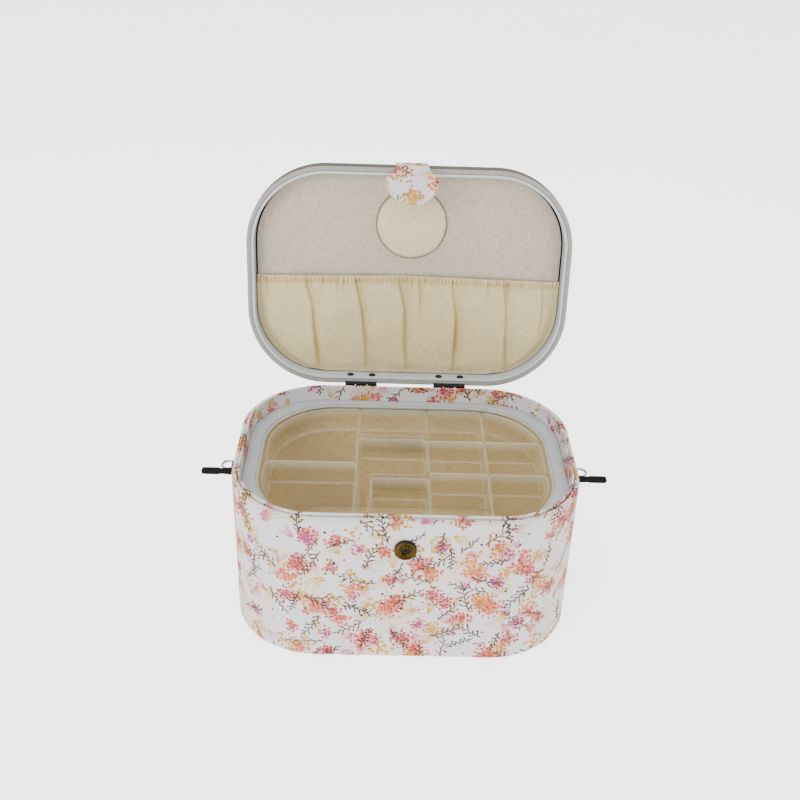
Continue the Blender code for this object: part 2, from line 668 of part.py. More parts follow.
def pocket_band(name, start, end, rows):
    """A band of the pocket's cloth between two distances from the lid's hinge edge."""
    panel_z = LID_RECESS_Z - GAP
    foot = LID_LINING_INSET + POCKET_FOOT_FROM_EDGE
    loops = []
    for row in range(rows + 1):
        from_hinge = start + (end - start) * row / rows
        height_share = (from_hinge - foot) / (POCKET_TOP_FROM_HINGE - foot)
        half_width = pocket_half_width(from_hinge)
        front = []
        back = []
        for column in range(POCKET_COLUMNS + 1):
            x_share = 2 * column / POCKET_COLUMNS - 1
            peak = POCKET_PEAK * height_share * (1 - abs(x_share))
            y = LID_BACK_EDGE_Y - from_hinge - peak
            depth = pocket_depth(x_share, height_share, half_width)
            front.append(Vector((x_share * half_width, y, panel_z - depth)))
            back.append(Vector((x_share * half_width, y, panel_z - depth + POCKET_CLOTH)))
        loops.append(front + back[::-1])
    return strip_solid(name, loops, COTTON)


def make_pocket():
    """The gathered pocket, sewn to the panel at its sides and foot, and its elastic hem."""
    foot = LID_LINING_INSET + POCKET_FOOT_FROM_EDGE
    hem = POCKET_TOP_FROM_HINGE - ELASTIC_WIDTH
    pocket = pocket_band("pocket", foot, hem - GAP, POCKET_ROWS)
    elastic = pocket_band("pocket_elastic", hem, POCKET_TOP_FROM_HINGE, 1)
    return pocket, elastic


def strip_solid(name, loops, finish):
    """A lofted solid whose long thin end faces are split into small ones."""
    mesh_data = bmesh.new()
    rows = [[mesh_data.verts.new(point) for point in loop] for loop in loops]
    count = len(rows[0])
    for lower, upper in zip(rows[:-1], rows[1:]):
        for index in range(count):
            after = (index + 1) % count
            mesh_data.faces.new((lower[index], lower[after], upper[after], upper[index]))
    half = count // 2
    for row in (rows[0], rows[-1]):
        for index in range(half - 1):
            opposite = count - 1 - index
            mesh_data.faces.new((row[index], row[index + 1], row[opposite - 1], row[opposite]))
    return finish_mesh(name, mesh_data, finish)


def knuckle(name, centre_x, width):
    """One rolled tube of a hinge leaf, round the pin's axis."""
    centre = Vector((centre_x, HINGE_PIN_Y, HINGE_PIN_Z))
    half = width / 2
    radii = (KNUCKLE_RADIUS, KNUCKLE_RADIUS, KNUCKLE_BORE_RADIUS, KNUCKLE_BORE_RADIUS)
    profile = tuple(zip(radii, (-half, half, half, -half)))
    return turned(name, centre, Vector((1, 0, 0)), profile, BLACK_METAL, SMALL_ROUND_STEPS, ring=True)


def hinge_leaf(name, centre_x, knuckles, plate_y, up):
    """A leaf: its plate, and the webs and knuckles that join it to the pin."""
    half = HINGE_WIDTH / 2
    near = KNUCKLE_RADIUS + GAP + GAP
    far = near + HINGE_LEAF_HEIGHT
    low_z, high_z = sorted((HINGE_PIN_Z + up * near, HINGE_PIN_Z + up * far))
    high_y = plate_y + HINGE_LEAF_THICKNESS
    leaf = box(name, (centre_x - half, plate_y, low_z), (centre_x + half, high_y, high_z), BLACK_METAL)
    joined = []
    web_start = (KNUCKLE_RADIUS + KNUCKLE_BORE_RADIUS) / 2
    web_y = min(max(plate_y, HINGE_PIN_Y - PIN_RADIUS), HINGE_PIN_Y)
    for index, (offset, width) in enumerate(knuckles):
        low_z, high_z = sorted((HINGE_PIN_Z + up * web_start, HINGE_PIN_Z + up * (near + UNION_BITE)))
        low = (centre_x + offset - width / 2, web_y, low_z)
        high = (centre_x + offset + width / 2, high_y, high_z)
        joined.append(box(f"{name}_web_{index}", low, high))
        joined.append(knuckle(f"{name}_knuckle_{index}", centre_x + offset, width))
    combine(leaf, joined, "UNION")
    return leaf


def rivet(name, start, axis, shank_length):
    """A domed head with a shank; start is where the head meets the plate."""
    profile = [(RIVET_SHANK_RADIUS, shank_length), (RIVET_SHANK_RADIUS, 0.0), (RIVET_HEAD_RADIUS, 0.0)]
    for width_share, height_share in RIVET_DOME_SHARES:
        profile.append((RIVET_HEAD_RADIUS * width_share, -RIVET_HEAD_HEIGHT * height_share))
    return turned(name, start, axis, profile, BLACK_METAL, SMALL_ROUND_STEPS)


def rivet_hole(name, start, axis, length):
    """A cutter for a rivet's shank, with its running clearance."""
    radius = RIVET_SHANK_RADIUS + GAP
    profile = ((radius, -length), (radius, length))
    return turned(name, start, axis, profile, steps=SMALL_ROUND_STEPS)


def make_hinges(cover, padding, board, lid_pieces):
    """Two butt hinges with their pins and rivets, and the cuts that receive them."""
    lid_cover, lid_frame, lid_trim, lid_ring = lid_pieces
    lower_y = BODY_DEPTH / 2 - BOARD_INSET + GAP
    upper_y = LID_BACK_EDGE_Y + GAP
    outer_width = (HINGE_WIDTH - MIDDLE_KNUCKLE) / 2 - KNUCKLE_GAP
    outer_offset = HINGE_WIDTH / 2 - outer_width / 2
    lower_knuckles = ((-outer_offset, outer_width), (outer_offset, outer_width))
    upper_knuckles = ((0.0, MIDDLE_KNUCKLE),)
    leaf_reach = KNUCKLE_RADIUS + GAP + GAP + HINGE_LEAF_HEIGHT
    moving = []
    for side, sign in SIDES:
        centre_x = sign * HINGE_SPACING / 2
        lower = hinge_leaf("hinge_leaf_lower_" + side, centre_x, lower_knuckles, lower_y, -1)
        upper = hinge_leaf("hinge_leaf_upper_" + side, centre_x, upper_knuckles, upper_y, 1)
        moving.append(upper)
        half = HINGE_WIDTH / 2
        turned("hinge_pin_" + side, Vector((centre_x, HINGE_PIN_Y, HINGE_PIN_Z)), Vector((1, 0, 0)),
               ((PIN_RADIUS, -half), (PIN_RADIUS, half)), BLACK_METAL, SMALL_ROUND_STEPS)

        low = (centre_x - half - GAP, lower_y - GAP / 2, HINGE_PIN_Z - leaf_reach - GAP)
        high = (centre_x + half + GAP, BODY_DEPTH / 2 + CUT_OVERRUN, HINGE_PIN_Z)
        combine(cover, [box("cover_notch_" + side, low, high)], "DIFFERENCE")
        combine(padding, [box("padding_notch_" + side, low, high)], "DIFFERENCE")
        sweep = KNUCKLE_RADIUS + GAP + GAP / 2
        for piece in (lid_cover, lid_frame, lid_trim):
            cutter = turned(f"barrel_clearance_{piece.name}_{side}",
                            Vector((centre_x, HINGE_PIN_Y, HINGE_PIN_Z)), Vector((1, 0, 0)),
                            ((sweep, -half - GAP), (sweep, half + GAP)), steps=ROUND_STEPS)
            combine(piece, [cutter], "DIFFERENCE")
        for place, place_sign in SIDES:
            x = centre_x + place_sign * RIVET_SPACING / 2
            label = f"{side}_{place}"
            start = Vector((x, lower_y + HINGE_LEAF_THICKNESS + GAP, HINGE_PIN_Z - BODY_RIVET_BELOW_PIN))
            shank = HINGE_LEAF_THICKNESS + BODY_BOARD + GAP
            inward = Vector((0, -1, 0))
            rivet("body_rivet_" + label, start, inward, shank)
            cut_length = shank + CUT_OVERRUN
            for piece in (lower, board):
                cutter = rivet_hole(f"hole_{piece.name}_{label}", start, inward, cut_length)
                combine(piece, [cutter], "DIFFERENCE")
            ring_face_y = LID_BACK_EDGE_Y - LID_RECESS_INSET - GAP
            start = Vector((x, ring_face_y, LID_FACE_Z + LID_RIVET_FROM_FACE))
            shank = LID_RECESS_INSET + GAP + GAP + HINGE_LEAF_THICKNESS
            outward = Vector((0, 1, 0))
            moving.append(rivet("lid_rivet_" + label, start, outward, shank))
            cut_length = shank + CUT_OVERRUN
            for piece in (upper, lid_cover, lid_frame, lid_ring):
                cutter = rivet_hole(f"hole_{piece.name}_{label}", start, outward, cut_length)
                combine(piece, [cutter], "DIFFERENCE")
    return moving


def make_snap_socket(cover, padding, board, liner):
    """The brass cap with its magnet on the front wall, and the washer behind the board."""
    outward = Vector((0, -1, 0))
    face = Vector((0.0, SNAP_FACE_Y, SNAP_Z))
    wall = LINER_INSET + GAP
    shell_z = SNAP_PROUD
    profile = (
        (SNAP_RADIUS, 0.0),
        (SNAP_RADIUS, shell_z - SNAP_RIM),
        (SNAP_RADIUS - SNAP_RIM, shell_z),
        (SNAP_RING_RADIUS, shell_z - SNAP_RIM / 3),
        (SNAP_HOLE_RADIUS, shell_z),
        (SNAP_HOLE_RADIUS, shell_z - SNAP_RIM),
        (MAGNET_RADIUS + GAP, shell_z - SNAP_RIM),
        (MAGNET_RADIUS + GAP, 0.0),
    )
    turned("snap_socket", face, outward, profile, OLD_BRASS, ring=True)
    post = SNAP_HOLE_RADIUS / 2
    profile = (
        (post, -wall - WASHER_THICKNESS),
        (SNAP_POST_RADIUS, -wall - WASHER_THICKNESS),
        (SNAP_POST_RADIUS, 0.0),
        (MAGNET_RADIUS, 0.0),
        (MAGNET_RADIUS, MAGNET_HEIGHT),
        (post, MAGNET_HEIGHT),
    )
    turned("snap_magnet", face, outward, profile, MAGNET, ring=True)
    washer_out = -wall
    profile = (
        (SNAP_POST_RADIUS + GAP, washer_out),
        (WASHER_RADIUS, washer_out),
        (WASHER_RADIUS, washer_out - WASHER_THICKNESS),
        (SNAP_POST_RADIUS + GAP, washer_out - WASHER_THICKNESS),
    )
    turned("snap_washer", face, outward, profile, STEEL, ring=True)
    hole = SNAP_POST_RADIUS + GAP
    for piece in (cover, padding, board):
        reach = ((hole, -wall - CUT_OVERRUN), (hole, CUT_OVERRUN))
        cutter = turned("snap_hole_" + piece.name, face, outward, reach)
        combine(piece, [cutter], "DIFFERENCE")
    pocket = WASHER_RADIUS + GAP
    deep = wall + WASHER_THICKNESS + GAP
    cutter = turned("washer_pocket", face, outward, ((pocket, -deep), (pocket, CUT_OVERRUN)))
    combine(liner, [cutter], "DIFFERENCE")


def flap_direction(angle):
    """A unit step down and outwards from the closed lid's front edge."""
    return Vector((0.0, -math.sin(angle), -math.cos(angle)))


def make_flap():
    """The closure flap: the root sewn to the lid, the neck that folds, the stiff tongue."""
    root_out = LID_FRONT_Y - GAP
    half_thick = FLAP_ROOT_THICKNESS / 2
    root_low_z = FLAP_HINGE.z + half_thick + GAP
    root_high_z = LID_TOP_Z - LID_SHOULDER
    half = FLAP_ROOT_WIDTH / 2
    low = (-half, root_out - FLAP_ROOT_THICKNESS, root_low_z)
    root = box("flap_root", low, (half, root_out, root_high_z), PRINT_CLOTH)

    neck_step = flap_direction(FLAP_NECK_ANGLE)
    neck_side = Vector((0.0, -neck_step.z, neck_step.y)) * half_thick
    crease = FLAP_HINGE + neck_step * FLAP_NECK_LENGTH
    end = crease - neck_step * (FLAP_CREASE_CLEARANCE + GAP)
    rolled_edge = []
    for step in range(FLARE_STEPS + 1):
        angle = step / FLARE_STEPS * math.pi
        around = neck_side * math.cos(angle) + neck_step * half_thick * math.sin(angle)
        rolled_edge.append(FLAP_HINGE - around)
    outline = [end + neck_side, end - neck_side] + rolled_edge
    neck = plate("flap_neck", [(point.y, point.z) for point in outline], -half, half, PRINT_CLOTH)

    tongue_step = flap_direction(FLAP_TONGUE_ANGLE)
    tongue_side = Vector((0.0, -tongue_step.z, tongue_step.y)) * (FLAP_THICKNESS / 2)
    edge = []
    for step in range(FLARE_STEPS):
        share = step / FLARE_STEPS
        swell = (1 - math.cos(share * math.pi)) / 2
        edge.append((half + (FLAP_WIDTH / 2 - half) * swell, FLAP_CREASE_CLEARANCE + FLAP_WIDEST * share))
    reach = FLAP_TONGUE_LENGTH - FLAP_WIDEST - FLAP_CREASE_CLEARANCE
    for step in range(ROUND_STEPS + 1):
        angle = step / ROUND_STEPS * math.pi
        along = FLAP_CREASE_CLEARANCE + FLAP_WIDEST + reach * math.sin(angle)
        edge.append((FLAP_WIDTH / 2 * math.cos(angle), along))
    edge += [(-x, along) for x, along in edge[FLARE_STEPS - 1::-1]]
    loops = []
    for side in (-1, 1):
        loop = []
        for x, along in edge:
            loop.append(Vector((x, 0.0, 0.0)) + crease + tongue_step * along + tongue_side * side)
        loops.append(loop)
    tongue = skin("flap_tongue", loops, PRINT_CLOTH)

    to_snap = (crease.z - SNAP_Z) / math.cos(FLAP_TONGUE_ANGLE - FLAP_SNAP_ANGLE)
    seat = crease + tongue_step * to_snap
    inward = tongue_side.normalized()
    if inward.y < 0:
        inward = -inward
    seat = seat + inward * (FLAP_THICKNESS / 2 + GAP)
    profile = (
        (STUD_RADIUS, 0.0),
        (STUD_RADIUS, STUD_BASE / 2),
        (STUD_RADIUS - STUD_BASE / 2, STUD_BASE),
        (STUD_POST_RADIUS, STUD_BASE),
        (STUD_POST_RADIUS, STUD_BASE + STUD_POST_HEIGHT),
    )
    stud = turned("snap_stud", seat, inward, profile, OLD_BRASS)
    return root, neck, tongue, stud, crease


def make_side_strap(side, sign):
    """A sewn loop, the grey ring hung in it, and the black strap tab hooked on the ring."""
    wall_x = BODY_WIDTH / 2 + GAP
    bar_x = wall_x + STRAP_BAR_OUT - GAP
    bar = Vector((sign * bar_x, 0.0, STRAP_HEIGHT))

    thick = STRAP_LOOP_THICKNESS
    inner = STRAP_WIRE_RADIUS + GAP
    outline = [
        (wall_x, STRAP_HEIGHT - STRAP_PATCH_HEIGHT / 2),
        (wall_x, STRAP_HEIGHT + STRAP_PATCH_HEIGHT / 2),
        (wall_x + thick, STRAP_HEIGHT + STRAP_PATCH_HEIGHT / 2),
    ]
    outline += bend(bar_x, STRAP_HEIGHT, inner + thick, math.pi / 2, -math.pi / 2)
    outline.append((wall_x + thick, STRAP_HEIGHT - STRAP_PATCH_HEIGHT / 2))
    hole = bend(bar_x, STRAP_HEIGHT, inner, 0.0, 2 * math.pi, full=True)
    low_y = STRAP_RING_Y - STRAP_LOOP_WIDTH / 2
    high_y = STRAP_RING_Y + STRAP_LOOP_WIDTH / 2
    loop = side_plate("strap_loop_" + side, outline, low_y, high_y, sign, BLACK_STRAP)
    cutter = side_plate(f"strap_loop_{side}_bore", hole, low_y - CUT_OVERRUN, high_y + CUT_OVERRUN, sign)
    combine(loop, [cutter], "DIFFERENCE")

    half = STRAP_RING_WIDTH / 2
    corner = STRAP_RING_OUT / 2
    route = [(0.0, STRAP_RING_Y - half), (0.0, STRAP_RING_Y + half)]
    for step in range(STRAP_BEND_STEPS + 1):
        angle = math.pi / 2 - step / STRAP_BEND_STEPS * math.pi
        out = corner + (STRAP_RING_OUT - corner) * math.cos(angle)
        route.append((out, STRAP_RING_Y + half * math.sin(angle)))
    points = [Vector((sign * (bar_x + out), y, STRAP_HEIGHT)) for out, y in route]
    ring = wire_ring("strap_ring_" + side, points, STRAP_WIRE_RADIUS, STEEL)
    bar_low_y = STRAP_TAB_Y - STRAP_TAB_WIDTH / 2 - STRAP_BAR_END
    reach = ((STRAP_WIRE_RADIUS, bar_low_y), (STRAP_WIRE_RADIUS, STRAP_RING_Y))
    along = Vector((0, 1, 0))
    bar_front = turned(f"strap_ring_{side}_bar", bar, along, reach, steps=STRAP_WIRE_STEPS)
    combine(ring, [bar_front], "UNION")

    start = bend(bar_x, STRAP_HEIGHT, inner + thick, math.pi / 2, 3 * math.pi / 2)
    end_x = wall_x + STRAP_TAB_LENGTH + STRAP_BAR_OUT
    doubled_x = end_x - STRAP_TAB_DOUBLED
    half_thin = STRAP_TAB_THICKNESS / 2
    half_thick = STRAP_TAB_THICK_END / 2
    z = STRAP_HEIGHT
    lower = [(doubled_x - half_thick, z - half_thin), (doubled_x, z - half_thick)]
    tip = bend(end_x - half_thick, z, half_thick, -math.pi / 2, math.pi / 2)
    upper = [(doubled_x, z + half_thick), (doubled_x - half_thick, z + half_thin)]
    outline = start + lower + tip + upper
    low_y = STRAP_TAB_Y - STRAP_TAB_WIDTH / 2
    high_y = STRAP_TAB_Y + STRAP_TAB_WIDTH / 2
    tab = side_plate("strap_tab_" + side, outline, low_y, high_y, sign, BLACK_STRAP)
    cutter = side_plate(f"strap_tab_{side}_bore", hole, low_y - CUT_OVERRUN, high_y + CUT_OVERRUN, sign)
    combine(tab, [cutter], "DIFFERENCE")
    hub = pivot("strap_pivot_" + side, bar)
    hang([ring, bar_front, tab, cutter], hub, bar)


def bend(centre_x, centre_z, radius, start, end, full=False):
    """Points round an arc in X and Z."""
    steps = STRAP_BEND_STEPS * 2 if full else STRAP_BEND_STEPS
    points = []
    for step in range(steps if full else steps + 1):
        angle = start + (end - start) * step / steps
        points.append((centre_x + radius * math.cos(angle), centre_z + radius * math.sin(angle)))
    return points


def side_plate(name, outline, low_y, high_y, sign, finish=None):
    """A solid with an outline in X and Z, carried along Y on one side of the basket."""
    loops = []
    for y in (low_y, high_y):
        loops.append([Vector((sign * x, y, z)) for x, z in outline])
    return skin(name, loops, finish)


def wire_ring(name, points, radius, finish):
    """A round wire bent along a closed flat route."""
    loops = []
    count = len(points)
    for index, point in enumerate(points):
        before = points[index - 1]
        after = points[(index + 1) % count]
        along = ((point - before).normalized() + (after - point).normalized()).normalized()
        outward = along.cross(Vector((0, 0, 1))).normalized()
        spread = 1 / max(0.5, along.dot((after - point).normalized()))
        loop = []
        for step in range(STRAP_WIRE_STEPS):
            angle = 2 * math.pi * step / STRAP_WIRE_STEPS
            across = outward * math.cos(angle) * radius * spread
            loop.append(point + across + Vector((0, 0, math.sin(angle) * radius)))
        loops.append(loop)
    return skin(name, loops, finish, ring=True)


cover, padding, board, liner = make_body_walls()
make_body_inside()
tray = make_tray()
lid_cover, lid_padding, lid_frame, lid_board = make_lid_shell()
lid_trim, lid_ring, lid_lining = make_lid_inside()
pincushion = make_pincushion()
pocket, elastic = make_pocket()
moving_hinge_parts = make_hinges(cover, padding, board, (lid_cover, lid_frame, lid_trim, lid_ring))
make_snap_socket(cover, padding, board, liner)
flap_root, flap_neck, flap_tongue, snap_stud, flap_crease = make_flap()
for strap_side, strap_sign in SIDES:
    make_side_strap(strap_side, strap_sign)

lid_pivot = pivot("lid_pivot", HINGE_PIN, -LID_OPEN_ANGLE)
lid_pieces = [lid_cover, lid_padding, lid_frame, lid_board, lid_trim, lid_ring, lid_lining]
lid_pieces += [pincushion, pocket, elastic, flap_root] + moving_hinge_parts
lid_tools = [step.object for piece in lid_pieces for step in piece.modifiers]
hang(lid_pieces + lid_tools, lid_pivot, HINGE_PIN)
flap_pivot = pivot("flap_pivot", FLAP_HINGE - HINGE_PIN, FLAP_OPEN_FOLD, lid_pivot)
hang([flap_neck], flap_pivot, FLAP_HINGE)
tongue_pivot = pivot("tongue_pivot", flap_crease - FLAP_HINGE, 0.0, flap_pivot)
hang([flap_tongue, snap_stud], tongue_pivot, flap_crease)
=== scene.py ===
"""The looks of a fabric-covered sewing basket: printed padded walls, a lined lid with a
gathered pocket and a pincushion, a clear divided tray, and its small black and brass fittings.

Lengths here are in millimetres until a mesh is made. The lid's pieces are drawn closed, in the
CAD model's frame, and then turned open about the hinge pins.
"""

import math

import bmesh
import bpy
import numpy as np
from mathutils import Matrix, Vector


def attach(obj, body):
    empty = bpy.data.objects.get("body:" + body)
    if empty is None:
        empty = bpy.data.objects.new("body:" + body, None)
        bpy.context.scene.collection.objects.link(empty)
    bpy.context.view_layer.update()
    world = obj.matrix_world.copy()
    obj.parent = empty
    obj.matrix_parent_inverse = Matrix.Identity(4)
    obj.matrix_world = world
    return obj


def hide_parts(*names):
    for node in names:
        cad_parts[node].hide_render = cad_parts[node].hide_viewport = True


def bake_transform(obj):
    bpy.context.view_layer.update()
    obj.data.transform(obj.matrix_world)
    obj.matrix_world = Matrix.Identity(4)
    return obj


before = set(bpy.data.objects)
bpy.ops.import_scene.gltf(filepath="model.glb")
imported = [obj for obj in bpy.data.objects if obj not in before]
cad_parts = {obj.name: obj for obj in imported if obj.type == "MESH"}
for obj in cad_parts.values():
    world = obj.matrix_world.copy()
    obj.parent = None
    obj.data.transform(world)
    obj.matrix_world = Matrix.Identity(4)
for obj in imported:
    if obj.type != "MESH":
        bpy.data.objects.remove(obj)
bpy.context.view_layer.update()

MM = 0.001
PER_METRE = 1000.0
TURN = 2 * math.pi

# Outlines as width, depth and corner radius
BODY = (300.0, 217.0, 75.0)
TRAY = (262.0, 188.0, 68.0)
LID = (302.0, 209.5, 74.0)
LID_CENTRE_Y = 0.85
LID_BACK_Y = 105.6

# Levels
TRAY_FLOOR_Z = 109.0
LID_FACE_Z = 151.8
LID_SIDE_Z = 168.8
LID_LINING_Z = 165.8

# The hinges: their middles, the pins' axis, and how far the lid stands open
HINGES_X = (-43.0, 43.0)
PIN_Y = 106.1
PIN_Z = 152.0
OPEN = math.radians(97.7)

# How many points the straight runs and corners of an outline take
RUN_COUNTS = (30, 36, 24, 36, 60, 36, 24, 36, 30)

# Points this near are one, and edges this near a level lie on it
WELD = 0.002
LEVEL_SLACK = 0.01


def turned_open(points, angle=OPEN):
    """Turns closed places open about the pins: y' = y cos a + z sin a and z' = -y sin a + z cos a,
    with y and z counted from the pins."""
    y = points[..., 1] - PIN_Y
    z = points[..., 2] - PIN_Z
    out = points.copy()
    out[..., 1] = PIN_Y + y * math.cos(angle) + z * math.sin(angle)
    out[..., 2] = PIN_Z - y * math.sin(angle) + z * math.cos(angle)
    return out


def smooth(low, high, value):
    """0 below low, 1 above high, and the curve 3t2 - 2t3 between them."""
    t = np.clip((value - low) / (high - low), 0.0, 1.0)
    return t * t * (3 - 2 * t)


def outline(size, inset=0.0):
    """A rectangle with round corners, from the middle of the back, counter-clockwise: a centre
    walks round the corners' centres while an angle turns, and each point is the centre plus the
    radius along that angle. Returns the points and their outward directions."""
    width, depth, corner = size
    far_x, far_y = width / 2 - corner, depth / 2 - corner
    centre_x = (0, -far_x, -far_x, -far_x, -far_x, far_x, far_x, far_x, far_x, 0)
    centre_y = (far_y, far_y, far_y, -far_y, -far_y, -far_y, -far_y, far_y, far_y, far_y)
    angles = (90, 90, 180, 180, 270, 270, 360, 360, 450, 450)
    knots = np.concatenate([[0], np.cumsum(RUN_COUNTS)])
    at = np.arange(knots[-1])
    angle = np.radians(np.interp(at, knots, angles))
    way = np.stack([np.cos(angle), np.sin(angle)], -1)
    centre = np.stack([np.interp(at, knots, centre_x), np.interp(at, knots, centre_y)], -1)
    return centre + way * (corner - inset), way


def lengths(points, closed=True):
    """Distance walked along a row of points, with the way back to the first where it is closed."""
    row = np.vstack([points, points[:1]]) if closed else points
    steps = np.linalg.norm(np.diff(row, axis=0), axis=1)
    return np.concatenate([[0], np.cumsum(steps)])


def level_row(xy, z):
    """A row of places at one height."""
    return np.column_stack([xy, np.full(len(xy), z)])


def looped(grid):
    """A grid's x and y, with its first column once more at the end, as flat cloth."""
    return np.concatenate([grid[..., :2], grid[:, :1, :2]], 1)


def arc(centre, radius, start, end, steps=6):
    """Points of an arc in a section, by angle in degrees."""
    angle = np.radians(np.linspace(start, end, steps))
    return np.stack([centre[0] + radius * np.cos(angle), centre[1] + radius * np.sin(angle)], -1)


class Shape:
    """The points, faces and cloth coordinates of one piece, gathered grid by grid."""

    def __init__(self):
        self.points, self.faces, self.cloth, self.count = [], [], [], 0

    def grid(self, points, cloth=None, loop=False, ring=False):
        """Adds a grid of points, rows by columns. loop joins its last column to the first, and
        ring its last row to the first; cloth then has one more column or row."""
        rows, columns = points.shape[:2]
        index = self.count + np.arange(rows * columns).reshape(rows, columns)
        if loop:
            index = np.hstack([index, index[:, :1]])
        if ring:
            index = np.vstack([index, index[:1]])
        if cloth is None:
            cloth = np.zeros(index.shape + (2,))
        corners = (np.s_[:-1, :-1], np.s_[:-1, 1:], np.s_[1:, 1:], np.s_[1:, :-1])
        self.faces += np.stack([index[c] for c in corners], -1).reshape(-1, 4).tolist()
        self.cloth.append(np.stack([cloth[c] for c in corners], 2).reshape(-1, 2))
        self.points.append(points.reshape(-1, 3))
        self.count += rows * columns
        return index

    def bridge(self, one, two, cloth):
        """Joins two rows of points with quads; cloth is the first row's."""
        self.faces += np.stack([one[:-1], one[1:], two[1:], two[:-1]], -1).tolist()
        spots = np.stack([cloth[:-1], cloth[1:], cloth[1:], cloth[:-1]], 1)
        self.cloth.append(spots.reshape(-1, 2))

    def cap(self, ring, cloth=None):
        """Closes a loop of points with one face."""
        ring = list(ring)
        self.faces.append([int(i) for i in ring])
        self.cloth.append(np.zeros((len(ring), 2)) if cloth is None else cloth)

    def build(self, name, look, sharp=38, fill_levels=()):
        """Makes the object, with its faces turned outwards. Each fill level is a flat of
        triangles between the open edges that lie there."""
        mesh = bpy.data.meshes.new(name)
        mesh.from_pydata((np.concatenate(self.points) * MM).tolist(), [], self.faces)
        layer = mesh.uv_layers.new(name="cloth")
        layer.data.foreach_set("uv", (np.concatenate(self.cloth) * MM).ravel())
        made = bmesh.new()
        made.from_mesh(mesh)
        for level in fill_levels:
            edges = [e for e in made.edges if e.is_boundary
                     and all(abs(v.co.z - level * MM) < LEVEL_SLACK * MM for v in e.verts)]
            bmesh.ops.triangle_fill(made, use_beauty=True, use_dissolve=False, edges=edges)
        bmesh.ops.remove_doubles(made, verts=made.verts, dist=WELD * MM)
        bmesh.ops.recalc_face_normals(made, faces=made.faces)
        made.to_mesh(mesh)
        made.free()
        mesh.shade_smooth()
        mesh.set_sharp_from_angle(angle=math.radians(sharp))
        mesh.materials.append(look)
        piece = bpy.data.objects.new(name, mesh)
        bpy.context.scene.collection.objects.link(piece)
        return piece


def dress(piece, body, slot, *stands_for):
    """Attaches a piece to its body and hides the CAD nodes that it stands for. slot is not used.
    """
    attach(piece, body)
    if stands_for:
        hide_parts(*stands_for)


def cut(piece, cutters):
    """Takes closed cutters out of a piece and removes them."""
    for cutter in cutters:
        step = piece.modifiers.new(cutter.name, "BOOLEAN")
        step.operation, step.solver, step.object = "DIFFERENCE", "EXACT", cutter
    bpy.context.view_layer.update()
    seen = piece.evaluated_get(bpy.context.evaluated_depsgraph_get())
    mesh = bpy.data.meshes.new_from_object(seen)
    piece.modifiers.clear()
    piece.data = mesh
    for cutter in cutters:
        bpy.data.objects.remove(cutter, do_unlink=True)


def block(name, low, high, opened=False):
    """A closed box between two corners, for a cut."""
    (x0, y0, z0), (x1, y1, z1) = low, high
    corners = np.array([[x0, y0], [x1, y0], [x1, y1], [x0, y1]])
    grid = np.stack([level_row(corners, z) for z in (z0, z1)])
    shape = Shape()
    index = shape.grid(turned_open(grid) if opened else grid, loop=True)
    shape.cap(index[0, :-1])
    shape.cap(index[1, :-1])
    return shape.build(name, None)


def mark(piece, name, values):
    """Gives each of a piece's points a number that its look reads."""
    piece.data.attributes.new(name, "FLOAT", "POINT").data.foreach_set("value", values)


def hinge_rooms(name, half, low, high, opened=False):
    """A box at each hinge, between two corners in y and z."""
    return [block(f"{name}_{n}", (x - half, *low), (x + half, *high), opened)
            for n, x in enumerate(HINGES_X)]


# Materials: numbers are worked out with operators, and every node comes from one method


class Number:
    """A number or colour in a look. Its operators add Math nodes."""

    def __init__(self, look, socket):
        self.look, self.socket = look, socket

    def maths(self, operation, *values):
        return self.look.node("Math", {"operation": operation}, dict(enumerate(values)))

    def __add__(self, other): return self.maths("ADD", self, other)
    def __radd__(self, other): return self.maths("ADD", other, self)
    def __sub__(self, other): return self.maths("SUBTRACT", self, other)
    def __rsub__(self, other): return self.maths("SUBTRACT", other, self)
    def __mul__(self, other): return self.maths("MULTIPLY", self, other)
    def __rmul__(self, other): return self.maths("MULTIPLY", other, self)
    def __truediv__(self, other): return self.maths("DIVIDE", self, other)
    def __rtruediv__(self, other): return self.maths("DIVIDE", other, self)
    def __pow__(self, other): return self.maths("POWER", self, other)
    def __abs__(self): return self.maths("ABSOLUTE", self)
    def __gt__(self, other): return self.maths("GREATER_THAN", self, other)
    def __lt__(self, other): return self.maths("LESS_THAN", self, other)
    def __mod__(self, other): return self.maths("FLOORED_MODULO", self, other)
    def sin(self): return self.maths("SINE", self)
    def cos(self): return self.maths("COSINE", self)
    def root(self): return self.maths("SQRT", self)
    def least(self, other): return self.maths("MINIMUM", self, other)
    def most(self, other): return self.maths("MAXIMUM", self, other)
    def angle_to(self, other): return self.maths("ARCTAN2", self, other)

    def within(self, low, high):
        """A soft step from 0 at low to 1 at high, or down again where low is the greater."""
        ends = (high, low, 1.0, 0.0) if low > high else (low, high, 0.0, 1.0)
        values = dict(zip(("From Min", "From Max", "To Min", "To Max"), ends), Value=self)
        return self.look.node("MapRange", {"interpolation_type": "SMOOTHSTEP"}, values, "Result")


